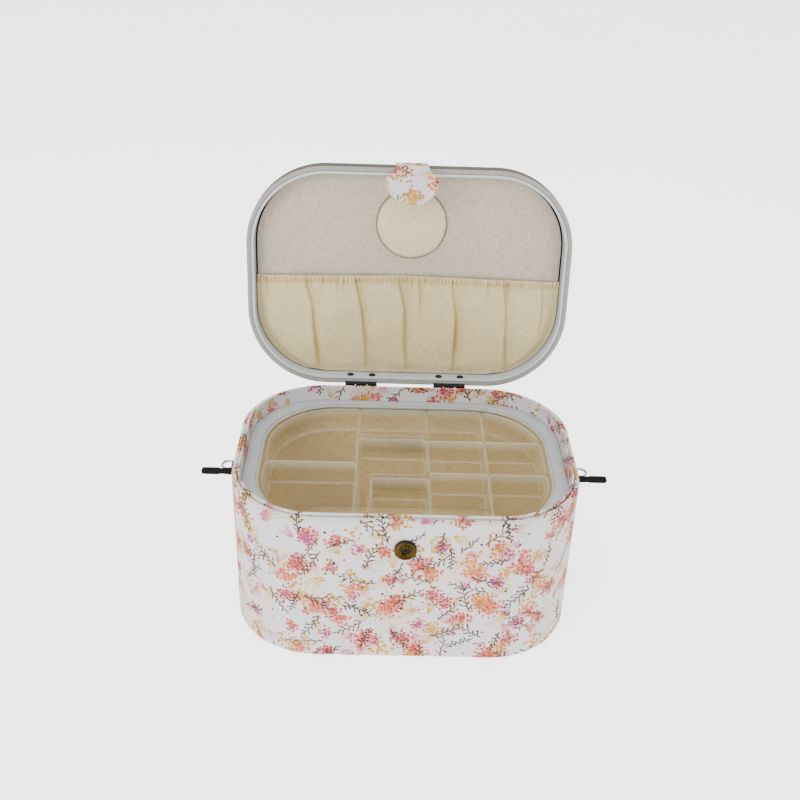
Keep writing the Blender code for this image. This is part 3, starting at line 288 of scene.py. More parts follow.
class Look:
    """One material and the nodes in it."""

    def __init__(self, name):
        self.material = bpy.data.materials.new(name)
        self.material.use_nodes = True
        self.tree = self.material.node_tree
        self.shader = self.tree.nodes["Principled BSDF"]
        self.output = self.tree.nodes["Material Output"]

    def node(self, kind, settings=None, values=None, out=0):
        """Adds a node: its settings first, then the values or links of its sockets."""
        made = self.tree.nodes.new("ShaderNode" + kind)
        for name, value in (settings or {}).items():
            setattr(made, name, value)
        for name, value in (values or {}).items():
            self.put(made.inputs[name], value)
        if isinstance(out, tuple):
            return [Number(self, made.outputs[name]) for name in out]
        return Number(self, made.outputs[out])

    def put(self, slot, value):
        """Links a number or colour to a socket, or sets it there."""
        if isinstance(value, Number):
            self.tree.links.new(value.socket, slot)
        elif hasattr(value, "__len__") and len(value) == 3 and slot.type == "RGBA":
            slot.default_value = (*value, 1.0)
        else:
            slot.default_value = value

    def place(self, source="cloth"):
        """x and y in millimetres, along the cloth or on the object."""
        if source == "cloth":
            spot = self.node("UVMap", {"uv_map": "cloth"}, out="UV")
        else:
            spot = self.node("TexCoord", out="Object")
        x, y = self.node("SeparateXYZ", values={0: spot}, out=(0, 1))
        return x * PER_METRE, y * PER_METRE

    def pair(self, x, y):
        """A place in the pattern's plane."""
        return self.node("CombineXYZ", values={0: x, 1: y})

    def noise(self, x, y, size, detail=2.0, rough=0.5):
        """Noise whose features are about size millimetres across; size may differ by axis."""
        wide, tall = size if isinstance(size, tuple) else (size, size)
        at = self.pair(x / wide, y / tall)
        values = {"Vector": at, "Scale": 1.0, "Detail": detail, "Roughness": rough}
        return self.node("TexNoise", {"noise_dimensions": "2D"}, values)

    def cells(self, x, y, size, spread=1.0):
        """The nearest of scattered points: its distance, three random numbers, and its place."""
        at = self.pair(x / size, y / size)
        values = {"Vector": at, "Scale": 1.0, "Randomness": spread}
        far, chance, spot = self.node("TexVoronoi", {"voronoi_dimensions": "2D"}, values,
                                      ("Distance", "Color", "Position"))
        chances = self.node("SeparateColor", values={0: chance}, out=(0, 1, 2))
        cell_x, cell_y = self.node("SeparateXYZ", values={0: spot}, out=(0, 1))
        return far * size, chances, cell_x * size, cell_y * size

    def mix(self, share, under, over):
        """A colour between two others. Sockets 0, 6, 7 and 2 are those of the node's colours."""
        return self.node("Mix", {"data_type": "RGBA"}, {0: share, 6: under, 7: over}, 2)

    def finish(self, colour, roughness, height=None, strength=0.3, depth=0.2, metallic=0.0,
               sheen=0.0, specular=0.5):
        """Feeds the shader; height becomes a bump that is depth millimetres deep."""
        values = {"Base Color": colour, "Roughness": roughness, "Metallic": metallic,
                  "Sheen Weight": sheen, "Specular IOR Level": specular}
        for name, value in values.items():
            self.put(self.shader.inputs[name], value)
        if height is not None:
            bump = self.node("Bump", values={"Height": height, "Strength": strength,
                                             "Distance": depth * MM}, out="Normal")
            self.put(self.shader.inputs["Normal"], bump)
        return self.material


# The print's colours
GROUND = (0.575, 0.555, 0.555)
CORAL, SALMON, ROSE = (0.34, 0.008, 0.0016), (0.46, 0.048, 0.014), (0.31, 0.008, 0.014)
BERRY, MAUVE, MUSTARD = (0.26, 0.0025, 0.075), (0.40, 0.026, 0.17), (0.45, 0.195, 0.0007)
TWIG, OLIVE, SEED = (0.032, 0.0120, 0.005), (0.085, 0.048, 0.012), (0.014, 0.006, 0.004)
STRAW, BLUSH, SHELL = (0.44, 0.265, 0.004), (0.48, 0.085, 0.13), (0.55, 0.12, 0.07)

# Tufts of grass: shift, cell size, tint, blade length
TUFTS = ((41.0, 33.0, STRAW, 23.0), (173.0, 41.0, BLUSH, 21.0), (402.0, 47.0, MAUVE, 18.0),
         (650.0, 39.0, STRAW, 26.0))
# Sprays: shift, cell size, floret size, least and further half width, share of cells, two tints,
# petals or round buttons
SPRAYS = ((0.0, 39.0, 3.3, 7.0, 8.0, 0.50, SALMON, SHELL, True),
          (1601.0, 46.0, 3.0, 6.0, 5.5, 0.72, MUSTARD, STRAW, True),
          (517.0, 43.0, 3.1, 7.5, 6.0, 0.72, CORAL, SALMON, True),
          (733.0, 53.0, 2.9, 6.5, 5.0, 0.75, ROSE, CORAL, True),
          (911.0, 47.0, 2.8, 5.0, 5.5, 0.75, BERRY, MAUVE, True),
          (1303.0, 43.0, 4.0, 7.0, 4.0, 0.80, MUSTARD, MUSTARD, False))
# Sprigs: shift, cell size, step between leaves, leaf reach, half length, tint
SPRIGS = ((83.0, 35.0, 5.0, 5.6, 16.0, TWIG), (259.0, 43.0, 4.0, 3.8, 13.0, TWIG),
          (733.0, 47.0, 6.2, 6.4, 18.0, OLIVE))


def turned_pair(x, y, turns):
    """A place turned by a random share of a full turn."""
    angle = turns * TURN
    c, s = angle.cos(), angle.sin()
    return x * c + y * s, y * c - x * s


def add_tufts(look, x, y, colour):
    """Straight blades that fan out from a foot, with the angle cut into equal shares."""
    for shift, size, tint, tall in TUFTS:
        _, chance, cell_x, cell_y = look.cells(x + shift, y - shift, size, 0.8)
        u, v = turned_pair(x + shift - cell_x, y - shift - cell_y, chance[0])
        v = v + tall * 0.55
        reach = (u * u + v * v).root()
        spread = u.angle_to(v)
        fan = 0.20
        blade = (spread + reach * reach * 0.0005) / fan + 0.5
        off = abs(blade % 1.0 - 0.5) * fan * reach
        end = tall * (0.8 + 0.2 * (blade * 1.9 + chance[1] * 6.0).sin())
        inside = (abs(spread) < 0.50) * (reach / end).within(1.0, 0.8) * (reach > 2.0)
        mask = (off - 0.52 + reach * 0.006).within(0.18, -0.18) * inside * (chance[2] > 0.25)
        colour = look.mix(mask * (0.75 + 0.25 * chance[1]), colour, tint)
    return colour


def add_sprays(look, x, y, colour):
    """Small cells are florets, and a larger cell at each floret's own centre says which spray it
    belongs to, so that no floret is cut. A faint wash lies under each spray."""
    for shift, size, fine, least, more, share, tint, second, petals in SPRAYS:
        px, py = x + shift, y + shift * 0.6
        near, floret, floret_x, floret_y = look.cells(px, py, fine, 0.85)
        off, spray, _, _ = look.cells(floret_x, floret_y, size, 0.85)
        wide = least + more * spray[1]
        member = (off < wide) * (floret[0] > off / wide * 0.95 - 0.35) * (spray[2] < share)
        radius = fine * (0.43 + 0.17 * floret[2]) if petals else fine * (0.34 + 0.08 * floret[2])
        if petals:
            turn = (px - floret_x).angle_to(py - floret_y) + floret[1] * 6.0
            radius = radius * (0.84 + 0.16 * (turn * 5.0).cos())
            pale, deep = look.mix(0.40, second, GROUND), look.mix(0.06, tint, GROUND)
            loose = (off / wide + look.noise(x, y, 3.5)).within(1.45, 0.75)
            colour = look.mix(loose * (spray[2] < share) * 0.50, colour, pale)
            core = (off / wide + look.noise(x, y, 2.4) * 0.7).within(1.0, 0.55)
            colour = look.mix(core * (spray[2] < share) * 0.80, colour, deep)
        mask = (near - radius).within(0.22, -0.22) * member
        petal = look.mix((floret[2] + off / wide * 0.4).within(0.55, 1.1), tint, second)
        colour = look.mix(mask * (0.88 + 0.12 * floret[0]), colour, petal)
    return colour


def add_sprigs(look, x, y, colour):
    """A bent stem with slim leaves at an even step, left and right by turns: a leaf's half width
    grows and shrinks along it as share times what is left. Berries sit at some leaf tips."""
    for shift, size, step, reach, half, tint in SPRIGS:
        px, py = x - shift, y + shift
        _, chance, cell_x, cell_y = look.cells(px, py, size, 0.8)
        u, v = turned_pair(px - cell_x, py - cell_y, chance[0])
        u = u - v * v * (0.016 * (chance[1] - 0.35)) + look.noise(x, y, 9.0) * 3.4 - 1.7
        out = abs(u)
        long = (abs(v) / half).within(1.0, 0.9)
        stem = (out - 0.30 - (half - v) * 0.010).within(0.18, -0.10) * long
        moved = v + (u > 0.0) * (step / 2)
        along = moved % step
        count = (moved - along) / step
        grown = reach * (1.0 - (abs(v) / (half + 1.0)) ** 2.0)
        grown = grown * (0.68 + 0.32 * (count * 2.4 + chance[1] * 9.0 + (u > 0.0) * 1.7).sin())
        share = (out / grown.most(0.5)).least(1.0)
        leaf = abs(along - out * 0.85 - 0.4) - 0.28 - share * (1.0 - share) * 2.2
        leaf = leaf.within(0.18, -0.12) * (out < grown) * long
        tip_x, tip_y = out - grown, along - grown * 0.85 - 0.4
        berry = (tip_x * tip_x + tip_y * tip_y).root() - 0.7 - 0.3 * chance[1]
        berry = berry.within(0.2, -0.2) * (abs(v) < half * 0.8) * (chance[1] > 0.4)
        shown = chance[2] > 0.30
        colour = look.mix(stem.most(leaf) * shown * 0.95, colour, tint)
        colour = look.mix(berry * shown, colour, SEED)
    return colour


def print_look(name, source="cloth", shift=(0.0, 0.0)):
    """A loose floral print: five-petalled sprays and round buttons, leafy sprigs with dark
    berries, tufts of grass and faint washes, each scattered by its own random cells."""
    look = Look(name)
    x, y = look.place(source)
    x, y = x + shift[0], y + shift[1]
    shade = look.noise(x, y, 60.0)
    colour = look.mix(shade.within(0.50, 0.72) * 0.40, GROUND, (0.66, 0.42, 0.36))
    shade = look.noise(x + 311.0, y - 97.0, 48.0)
    colour = look.mix(shade.within(0.54, 0.74) * 0.45, colour, (0.66, 0.50, 0.28))
    colour = add_tufts(look, x, y, colour)
    colour = add_sprays(look, x, y, colour)
    colour = add_sprigs(look, x, y, colour)
    near, chance, _, _ = look.cells(x + 61.0, y + 19.0, 8.0)
    drop = (near - 0.7 - 0.6 * chance[1]).within(0.2, -0.2) * (chance[0] > 0.80)
    tint = look.mix(chance[2] > 0.35, SALMON, look.mix(chance[2] > 0.7, SEED, MUSTARD))
    colour = look.mix(drop, colour, tint)
    thread = TURN / 0.9
    weave = ((x * thread).sin() + (y * thread).sin()) * 0.25
    grain = look.noise(x, y, 1.6, 2.0)
    colour = look.mix(grain.within(0.35, 0.75) * 0.20, colour, (0.30, 0.30, 0.31))
    height = weave + look.noise(x, y, 3.0, 3.0) * 0.7
    return look.finish(colour, 0.86, height, 0.25, 0.12, sheen=0.04, specular=0.12)


def woven_look(name, base, fleck, thread, flecks=0.5, bump=0.35, shade=None):
    """A plain weave: noise drawn out along each thread, with slubs and flecks. shade is the tint
    of painted shade, laid where the piece's own fold attribute says that the cloth lies deep."""
    look = Look(name)
    x, y = look.place()
    warp = look.noise(x, y, (thread, thread * 14.0), 2.0)
    weft = look.noise(x, y, (thread * 14.0, thread), 2.0)
    threads = warp + weft - 1.0
    light = tuple(min(1.0, c * 1.16) for c in base)
    dark = tuple(c * 0.78 for c in base)
    colour = look.mix(threads.within(-0.32, 0.32), dark, light)
    spots = look.noise(x + 7.0, y, (2.6, 1.3), 3.0, 0.65)
    colour = look.mix(spots.within(0.63, 0.74) * flecks, colour, fleck)
    cloud = look.noise(x, y, 42.0)
    colour = look.mix(cloud.within(0.35, 0.7) * 0.16, colour, dark)
    streak = look.noise(x + 90.0, y, (22.0, 2.2), 3.0)
    colour = look.mix(streak.within(0.42, 0.72) * 0.30, colour, dark)
    if shade is not None:
        fold = look.node("Attribute", {"attribute_name": "fold"}, out="Fac")
        # Painted shade: the cloth turns to the shade tint as far as the fold attribute says.
        colour = look.mix(fold * 0.95, colour, shade)
    return look.finish(colour, 0.9, threads + spots * 0.4, bump, 0.18, sheen=0.06)


def band_look():
    """The cloth round the lid's side: rows of short dark dashes with fine specks between."""
    look = Look("lid_side_cloth")
    x, y = look.place()
    wobble = look.noise(x, y, 6.0) - 0.5
    row = y / 4.4
    shifted = x / 8.0 + (row % 2.0 > 1.0) * 0.5
    dash = (abs(shifted % 1.0 - 0.5) - 0.29 + wobble * 0.18).within(0.05, -0.03)
    line = (abs(row % 1.0 - 0.5) - 0.17).within(0.06, -0.03)
    specks = look.noise(x, y, (0.9, 0.9), 1.0).within(0.52, 0.60) * (abs(row % 1.0 - 0.5) > 0.3)
    colour = look.mix(specks * 0.85, (0.105, 0.092, 0.078), (0.010, 0.008, 0.007))
    colour = look.mix(dash * line, colour, (0.006, 0.005, 0.005))
    return look.finish(colour, 0.85, specks, 0.3, 0.15)


def moulded_look(name, base, roughness, metallic=0.0, wear=0.12, specular=0.5):
    """A moulded, painted or plated surface: slow and fine noise in its colour and gloss."""
    look = Look(name)
    spot = look.node("TexCoord", out="Object")
    slow = look.node("TexNoise", values={"Vector": spot, "Scale": 55.0, "Detail": 3.0})
    fine = look.node("TexNoise", values={"Vector": spot, "Scale": 900.0, "Detail": 2.0})
    light = tuple(min(1.0, c * (1 + wear)) for c in base)
    dark = tuple(c * (1 - wear) for c in base)
    colour = look.mix(slow.within(0.3, 0.7), dark, light)
    gloss = slow * 0.10 + fine * 0.10 + (roughness - 0.10)
    return look.finish(colour, gloss, fine, 0.12, 0.05, metallic, specular=specular)


def clear_look():
    """Thin clear plastic: mostly a warm see-through film, with gloss that grows as the surface
    turns away, and a painted highlight: pale where the piece's own edge attribute marks the walls'
    top edges."""
    look = Look("clear_tray_plastic")
    spot = look.node("TexCoord", out="Object")
    haze = look.node("TexNoise", values={"Vector": spot, "Scale": 60.0, "Detail": 2.0})
    look.finish((0.80, 0.77, 0.62), 0.08, haze, 0.04, 0.1)
    film = look.node("BsdfTransparent", values={"Color": (0.983, 0.965, 0.915)}, out="BSDF")
    facing = look.node("LayerWeight", values={"Blend": 0.35}, out="Facing")
    edge = look.node("Attribute", {"attribute_name": "edge"}, out="Fac")
    # edge * 0.42 is a painted highlight: more of the pale shader along the marked edges.
    share = (facing ** 4.0) * 0.6 + 0.02 + haze * 0.02 + edge * 0.42
    body = Number(look, look.shader.outputs["BSDF"])
    mixed = look.node("MixShader", values={0: share, 1: film, 2: body}, out="Shader")
    look.put(look.output.inputs["Surface"], mixed)
    return look.material


def webbing_look():
    """Black ribbed webbing: close ribs across the strap with a fine twill."""
    look = Look("black_webbing")
    spot = look.node("TexCoord", out="Object")
    x, y, z = look.node("SeparateXYZ", values={0: spot}, out=(0, 1, 2))
    wide, fine = PER_METRE * TURN / 1.1, PER_METRE * TURN / 0.7
    ribs = (x * wide).sin() * 0.5 + ((y + z) * fine).sin() * 0.35
    colour = look.mix(ribs.within(-0.8, 0.8), (0.003, 0.003, 0.003), (0.010, 0.010, 0.010))
    return look.finish(colour, 0.85, ribs, 0.5, 0.2, specular=0.08)


PRINT = print_look("printed_cotton")
PRINT_FLAT = print_look("printed_cotton_foot", "object")
FLAP_PRINT = print_look("printed_cotton_flap", shift=(118.0, 263.0))
LINEN = woven_look("beige_linen", (0.44, 0.37, 0.285), (0.20, 0.14, 0.08), 0.55, flecks=0.75)
WELL_LINEN = woven_look("warm_linen", (0.60, 0.475, 0.255), (0.19, 0.13, 0.06), 0.55)
# The pocket's cotton; its shade tint is the painted shade in its folds.
COTTON = woven_look("cream_cotton", (0.54, 0.445, 0.235), (0.35, 0.27, 0.15), 0.5, flecks=0.12,
                    bump=0.25, shade=(0.39, 0.25, 0.078))
CUSHION = woven_look("cushion_cotton", (0.58, 0.51, 0.315), (0.35, 0.27, 0.15), 0.5, flecks=0.12,
                     bump=0.25)
TRIM_CLOTH = woven_look("grey_edge_cloth", (0.275, 0.255, 0.22), (0.12, 0.10, 0.08), 0.6,
                        flecks=0.2)
BAND = band_look()
GREY = moulded_look("grey_moulding", (0.41, 0.43, 0.45), 0.42, wear=0.05)
LEDGE_GREY = moulded_look("ledge_grey", (0.33, 0.345, 0.37), 0.38, wear=0.05)
CLEAR = clear_look()
BLACK = moulded_look("black_plate", (0.006, 0.006, 0.006), 0.42, wear=0.3, specular=0.2)
BRASS = moulded_look("old_brass_plate", (0.042, 0.024, 0.0045), 0.28, metallic=1.0, wear=0.45)
# Dark brass for the washer and the plug in the snap's hole; as the ring round the cap's side it is
# painted shade.
DARK_BRASS_AND_SHADE = moulded_look("dark_brass_side", (0.010, 0.007, 0.004), 0.55, wear=0.3, specular=0.15)
NICKEL = moulded_look("nickel_wire", (0.42, 0.43, 0.45), 0.3, metallic=1.0)
MAGNET = moulded_look("magnet_plate", (0.012, 0.010, 0.008), 0.6, specular=0.15)
BOARD = moulded_look("pressed_board", (0.36, 0.33, 0.29), 0.9)
# Near black, to paint the shade in the thin gap between the lid's linen panel and its grey collar,
# where the lid's board and frame show.
GAP_SHADE_BOARD = moulded_look("black_board", (0.008, 0.007, 0.006), 0.9, specular=0.1)
# Olive for the ring at the pincushion's seam: its thread, and its darkness there is painted shade.
OLIVE_THREAD_AND_SEAM_SHADE = moulded_look("olive_thread", (0.26, 0.23, 0.14), 0.9)
WEBBING = webbing_look()


def ring_wall(name, size, profile, look, centre_y=0.0, opened=False, bulge=None, sharp=38):
    """A closed wall that follows an outline: a section of inset and height pairs is carried round
    it, and cloth coordinates are the way round and the way along the section."""
    profile = np.asarray(profile, float)
    way_round, outward = outline(size)
    around = lengths(way_round)
    along = lengths(profile)
    grid = np.zeros((len(profile), len(way_round), 3))
    grid[..., :2] = way_round[None] - outward[None] * profile[:, None, :1]
    grid[..., 2] = profile[:, 1:]
    if bulge is not None:
        grid[..., :2] += outward[None] * bulge(around[:-1], profile)[..., None]
    grid[..., 1] += centre_y
    cloth = np.stack(np.meshgrid(around, along), -1)
    shape = Shape()
    shape.grid(turned_open(grid) if opened else grid, cloth, loop=True, ring=True)
    return shape.build(name, look, sharp)


def body_bulge(around, profile):
    """The padded wall's soft waves: slow sines round the basket that fade at rim and foot, on the
    outer face alone."""
    z = profile[:, 1][:, None]
    outer = (profile[:, 0] < 1.0)[:, None]
    fade = smooth(4, 30, z) * smooth(146, 120, z)
    turned = around[None] / around[-1] * TURN
    waves = np.sin(5 * turned + 0.6 + z * 0.021) + 0.7 * np.sin(9 * turned + 2.1 - z * 0.034)
    return outer * fade * (0.18 * waves)


# The rim strip's two seams: where each starts and how long it is, as shares of the way round,
# and how far it stands proud
SEAM_STARTS = (0.615, 0.845)
SEAM_SHARE = 0.0105
SEAM_PROUD = 0.2


def make_body():
    """The padded printed wall, the rim strip, the linings and the grey ledge."""
    outer = np.concatenate([
        [(6.0, 0.5), (4.2, 0.5)],
        arc((2.6, 3.1), 2.6, 270, 180, 7),
        np.column_stack([np.zeros(26), np.linspace(6.0, 142.0, 26)]),
        arc((3.6, 145.7), 3.6, 180, 95, 9),
        [(4.0, 148.9), (4.1, 148.2)],
    ])
    outer[:, 0] = np.maximum(outer[:, 0], 0.0)
    inner = [(4.1, 147.2), (2.3, 147.1), (2.3, 120.0), (2.3, 60.0), (2.3, 1.1), (6.0, 1.1)]
    wall = ring_wall("padded_wall", BODY, np.concatenate([outer, inner]), PRINT, bulge=body_bulge)
    cut(wall, hinge_rooms("leaf_recess", 15.8, (106.05, PIN_Z - 12.7), (BODY[1] / 2 + 3.0, PIN_Z)))
    dress(wall, "basket", "print_fabric", "body_cover", "body_padding")

    rim = np.concatenate([
        [(4.4, 2.3), (4.4, 60.0), (4.4, 120.0), (4.4, 140.0), (4.5, 146.5), (5.0, 148.2),
         (5.0, 149.6)],
        arc((5.95, 150.45), 1.0, 170, 10, 9),
        [(6.9, 149.6), (6.9, 145.0), (6.9, 138.0), (6.9, 120.0), (6.9, 60.0), (6.9, 2.3)],
    ])
    rim_strip = ring_wall("rim_strip", BODY, rim, PRINT)
    dress(rim_strip, "basket", "print_fabric", "rim_liner")

    for n, start in enumerate(SEAM_STARTS):
        make_rim_seam(f"rim_strip_joint_{n}", start)

    dress(make_ledge(), "basket", "grey_plastic", "ledge_ring")

    lining = [(7.2, 7.9), (7.2, 123.7), (7.5, 123.75), (8.1, 123.7), (8.4, 123.4), (8.4, 60.0),
              (8.4, 7.9)]
    wall_lining = ring_wall("wall_linen", BODY, lining, WELL_LINEN)
    dress(wall_lining, "basket", "linen", "wall_lining")
    floor = panel("floor_linen", BODY, 7.2, ((0.0, 5.6), (0.0, 6.9), (0.7, 7.6)), WELL_LINEN)
    dress(floor, "basket", "linen", "floor_lining")


def at_lengths(picked, walked, values):
    """A looped row of pairs, read at some lengths along its walk."""
    return np.stack([np.interp(picked, walked, np.append(values[:, k], values[0, k]))
                     for k in (0, 1)], -1)


def make_rim_seam(name, start):
    """Where the rim strip's ends overlap: a thin second layer laid over the rim, which follows
    the strip's section a fifth of a millimetre proud."""
    points, outward = outline(BODY)
    around = lengths(points)
    pick = np.linspace(start, start + SEAM_SHARE, 9) * around[-1]
    xy, way = at_lengths(pick, around, points), at_lengths(pick, around, outward)
    section = np.concatenate([[(4.93, 149.6)], arc((5.95, 150.45), 1.06, 170, 10, 9),
                              [(6.97, 137.0)]])
    spoke = section - np.array([5.95, 150.0])
    proud = section + spoke / np.linalg.norm(spoke, axis=1)[:, None] * SEAM_PROUD
    rows = np.concatenate([section, proud[::-1]])
    grid = np.zeros((len(rows), len(pick), 3))
    grid[..., :2] = xy[None] - way[None] * rows[:, None, :1]
    grid[..., 2] = rows[:, 1:]
    cloth = np.stack(np.meshgrid(pick + 40.0, lengths(rows)), -1)
    shape = Shape()
    index = shape.grid(grid, cloth, ring=True)
    for end in (0, -1):
        shape.cap(index[:-1, end])
    dress(shape.build(name, PRINT), "basket", "print_fabric")


# The ledge's section: what a place is counted from, how far, and the height. From body and tray
# it is an inset; across is the share of the way from the last inset of body to the first of tray.
LEDGE_ROWS = (
    ("body", 7.2, 135.2), ("body", 7.5, 135.75), ("body", 8.2, 136.0),
    ("across", 0.35, 135.85), ("across", 0.7, 135.9),
    ("tray", -0.8, 136.0), ("tray", -0.45, 135.7), ("tray", -0.4, 134.5), ("tray", -0.1, 134.1),
    ("tray", 2.0, 134.1), ("tray", 2.2, 133.9), ("tray", 2.2, 132.8), ("tray", 2.0, 132.6),
    ("body", 9.3, 132.6), ("body", 9.0, 132.3), ("body", 9.0, 124.2), ("body", 8.8, 124.0),
    ("body", 7.3, 124.0), ("body", 7.2, 124.2),
)


def make_ledge():
    """The grey ledge ring: its top slopes gently from the wall to the tray's lip. The section
    runs from the body's outline to the tray's, so each point is part way between the two."""
    outer, outer_way = outline(BODY)
    inner, inner_way = outline(TRAY)
    loops = []
    for kind, value, z in LEDGE_ROWS:
        if kind == "body":
            xy = outer - outer_way * value
        elif kind == "tray":
            xy = inner - inner_way * value
        else:
            xy = (outer - outer_way * 8.2) * (1 - value) + (inner + inner_way * 0.8) * value
        loops.append(level_row(xy, z))
    shape = Shape()
    shape.grid(np.stack(loops), loop=True, ring=True)
    return shape.build("tray_ledge", LEDGE_GREY, 50)


def panel(name, size, inset, edge, look, centre_y=0.0, opened=False, rings=10):
    """A panel with a rounded edge: rows go up its edge, then scaled copies of the outline run in
    to the middle. edge holds inset and height pairs; the back is one face."""
    grid = [level_row(outline(size, inset + more)[0], z) for more, z in edge]
    grid += [grid[-1] * (share, share, 1.0) for share in np.linspace(1, 0, rings + 1)[1:-1]]
    grid = np.stack(grid)
    cloth = looped(grid)
    grid[..., 1] += centre_y
    shape = Shape()
    index = shape.grid(turned_open(grid) if opened else grid, cloth, loop=True)
    shape.cap(index[0, :-1])
    shape.cap(index[-1, :-1], cloth[-1, :-1])
    return shape.build(name, look, 50)


# The tray's compartments: low and high x, low and high y; None is the tray's own wall
COMPARTMENTS = (
    ((None, -43.75, -1.25, None),),
    ((None, -43.75, None, -2.75),),
    ((-42.25, 20.25, 45.0, None),),
    ((-42.25, 20.25, -18.0, 37.0), (-42.25, -30.75, None, 37.0)),
    ((-29.25, 20.25, None, -26.0),),
    ((21.75, 73.25, 36.75, None),),
    ((21.75, 73.25, -15.25, 35.25),),
    ((21.75, 73.25, None, -16.75),),
    ((74.75, None, 36.75, None),),
    ((74.75, None, -15.25, 35.25),),
    ((74.75, None, None, -16.75),),
)
DIVIDER_TOP_Z = 133.2
FLOOR_TOP_Z = 110.6
# A cup's wall: its inset at the top, its lean for each millimetre down, the round at its floor
CUP_INSET = 5.35
CUP_LEAN = 0.08
CUP_FILLET = 2.6
CUP_POINTS = 200
# Where the tray's wall stands for the middle of a compartment
TRAY_REACH = (115, 78)
# The hollow finger ribs: low and high x, low and high y, and half their width
RIBS = ((-41.4, 19.4, 38.5, 43.5), (-28.4, 19.4, -24.5, -19.5))
RIB_HALF = 1.2


def tub_distance(x, y):
    """Distance to the tray's outline, negative inside it."""
    width, depth, corner = TRAY
    qx, qy = np.abs(x) - (width / 2 - corner), np.abs(y) - (depth / 2 - corner)
    outside = np.hypot(np.maximum(qx, 0), np.maximum(qy, 0))
    return outside + np.minimum(np.maximum(qx, qy), 0) - corner


def room(x, y, sides, wall, corner):
    """Distance to one compartment's wall: the greatest of its sides' distances, with corners
    rounded by taking the root of the squares where two sides are near."""
    low_x, high_x, low_y, high_y = sides
    far = [tub_distance(x, y) + wall]
    for place, limit, away in ((x, low_x, -1), (x, high_x, 1), (y, low_y, -1), (y, high_y, 1)):
        if limit is not None:
            far.append((place - limit) * away)
    far = np.stack(far)
    near = np.sqrt(np.sum(np.maximum(far + corner, 0) ** 2, axis=0))
    return np.minimum(far.max(axis=0), -corner) + near


def compartment(x, y, rooms, wall, corner=4.0, join=3.0):
    """One room, or two joined with their inner corner rounded."""
    first = room(x, y, rooms[0], wall, corner)
    if len(rooms) == 1:
        return first
    second = room(x, y, rooms[1], wall, corner)
    near = np.hypot(np.maximum(join - first, 0), np.maximum(join - second, 0))
    return np.maximum(np.minimum(first, second), join) - near


def rays_to_wall(rooms, middle, angles, wall, offset):
    """How far each ray from the middle goes before it is offset inside the wall, by halving."""
    low, high = np.zeros(len(angles)), np.full(len(angles), 160.0)
    cos, sin = np.cos(angles), np.sin(angles)
    for _ in range(40):
        half = (low + high) / 2
        inside = compartment(middle[0] + half * cos, middle[1] + half * sin, rooms, wall) < -offset
        low, high = np.where(inside, half, low), np.where(inside, high, half)
    return (low + high) / 2


def middle_of(rooms):
    """A point from which the whole compartment is seen."""
    if len(rooms) == 2:
        return (-36.5, 6.0)
    ends = (-TRAY_REACH[0], TRAY_REACH[0], -TRAY_REACH[1], TRAY_REACH[1])
    low_x, high_x, low_y, high_y = (end if limit is None else limit
                                    for limit, end in zip(rooms[0], ends))
    return ((low_x + high_x) / 2, (low_y + high_y) / 2)


def add_cup(shape, rooms):
    """One compartment: a rounded top edge, walls that lean in, a round floor edge, a flat floor.
    Rays are cast finely first, to find the angles of points that lie evenly along the wall."""
    middle = middle_of(rooms)
    fine = np.linspace(0, TURN, 4000, endpoint=False)
    reach = rays_to_wall(rooms, middle, fine, CUP_INSET, 0.0)
    walked = lengths(np.stack([reach * np.cos(fine), reach * np.sin(fine)], -1))
    even = np.linspace(0, walked[-1], CUP_POINTS, endpoint=False)
    angles = np.interp(even, walked, np.append(fine, TURN))
    spokes = np.stack([np.cos(angles), np.sin(angles)], -1)
    levels = [(-0.40, DIVIDER_TOP_Z), (-0.28, DIVIDER_TOP_Z - 0.05), (-0.12, DIVIDER_TOP_Z - 0.17),
              (0.0, DIVIDER_TOP_Z - 0.45), (0.45, 123.0)]
    turn = np.radians(np.linspace(0, 90, 7))
    low = FLOOR_TOP_Z + CUP_FILLET
    levels += list(zip(0.9 + CUP_FILLET * (1 - np.cos(turn)), low - CUP_FILLET * np.sin(turn)))
    rows = []
    for offset, z in levels:
        wall = CUP_INSET + CUP_LEAN * (DIVIDER_TOP_Z - max(z, low))
        reach = rays_to_wall(rooms, middle, angles, wall, offset)
        rows.append(level_row(middle + reach[:, None] * spokes, z))
    index = shape.grid(np.stack(rows), loop=True)
    shape.cap(index[-1, :-1])


def add_channel(shape, low_x, high_x, low_y, high_y):
    """The hollow under a finger rib: a narrow slot with round ends, open at the tray's foot."""
    turn = np.radians(np.arange(0, 360, 10))
    spokes = np.stack([np.cos(turn), np.sin(turn)], -1)
    centre = np.stack([np.where(np.cos(turn) > 0, high_x - RIB_HALF, low_x + RIB_HALF),
                       np.where(np.sin(turn) > 0, high_y - RIB_HALF, low_y + RIB_HALF)], -1)
    levels = ((RIB_HALF, TRAY_FLOOR_Z), (RIB_HALF, 130.4), (1.0, 131.2), (0.5, 131.6))
    rows = [level_row(centre + radius * spokes, z) for radius, z in levels]
    index = shape.grid(np.stack(rows), loop=True)
    shape.cap(index[-1, :-1])


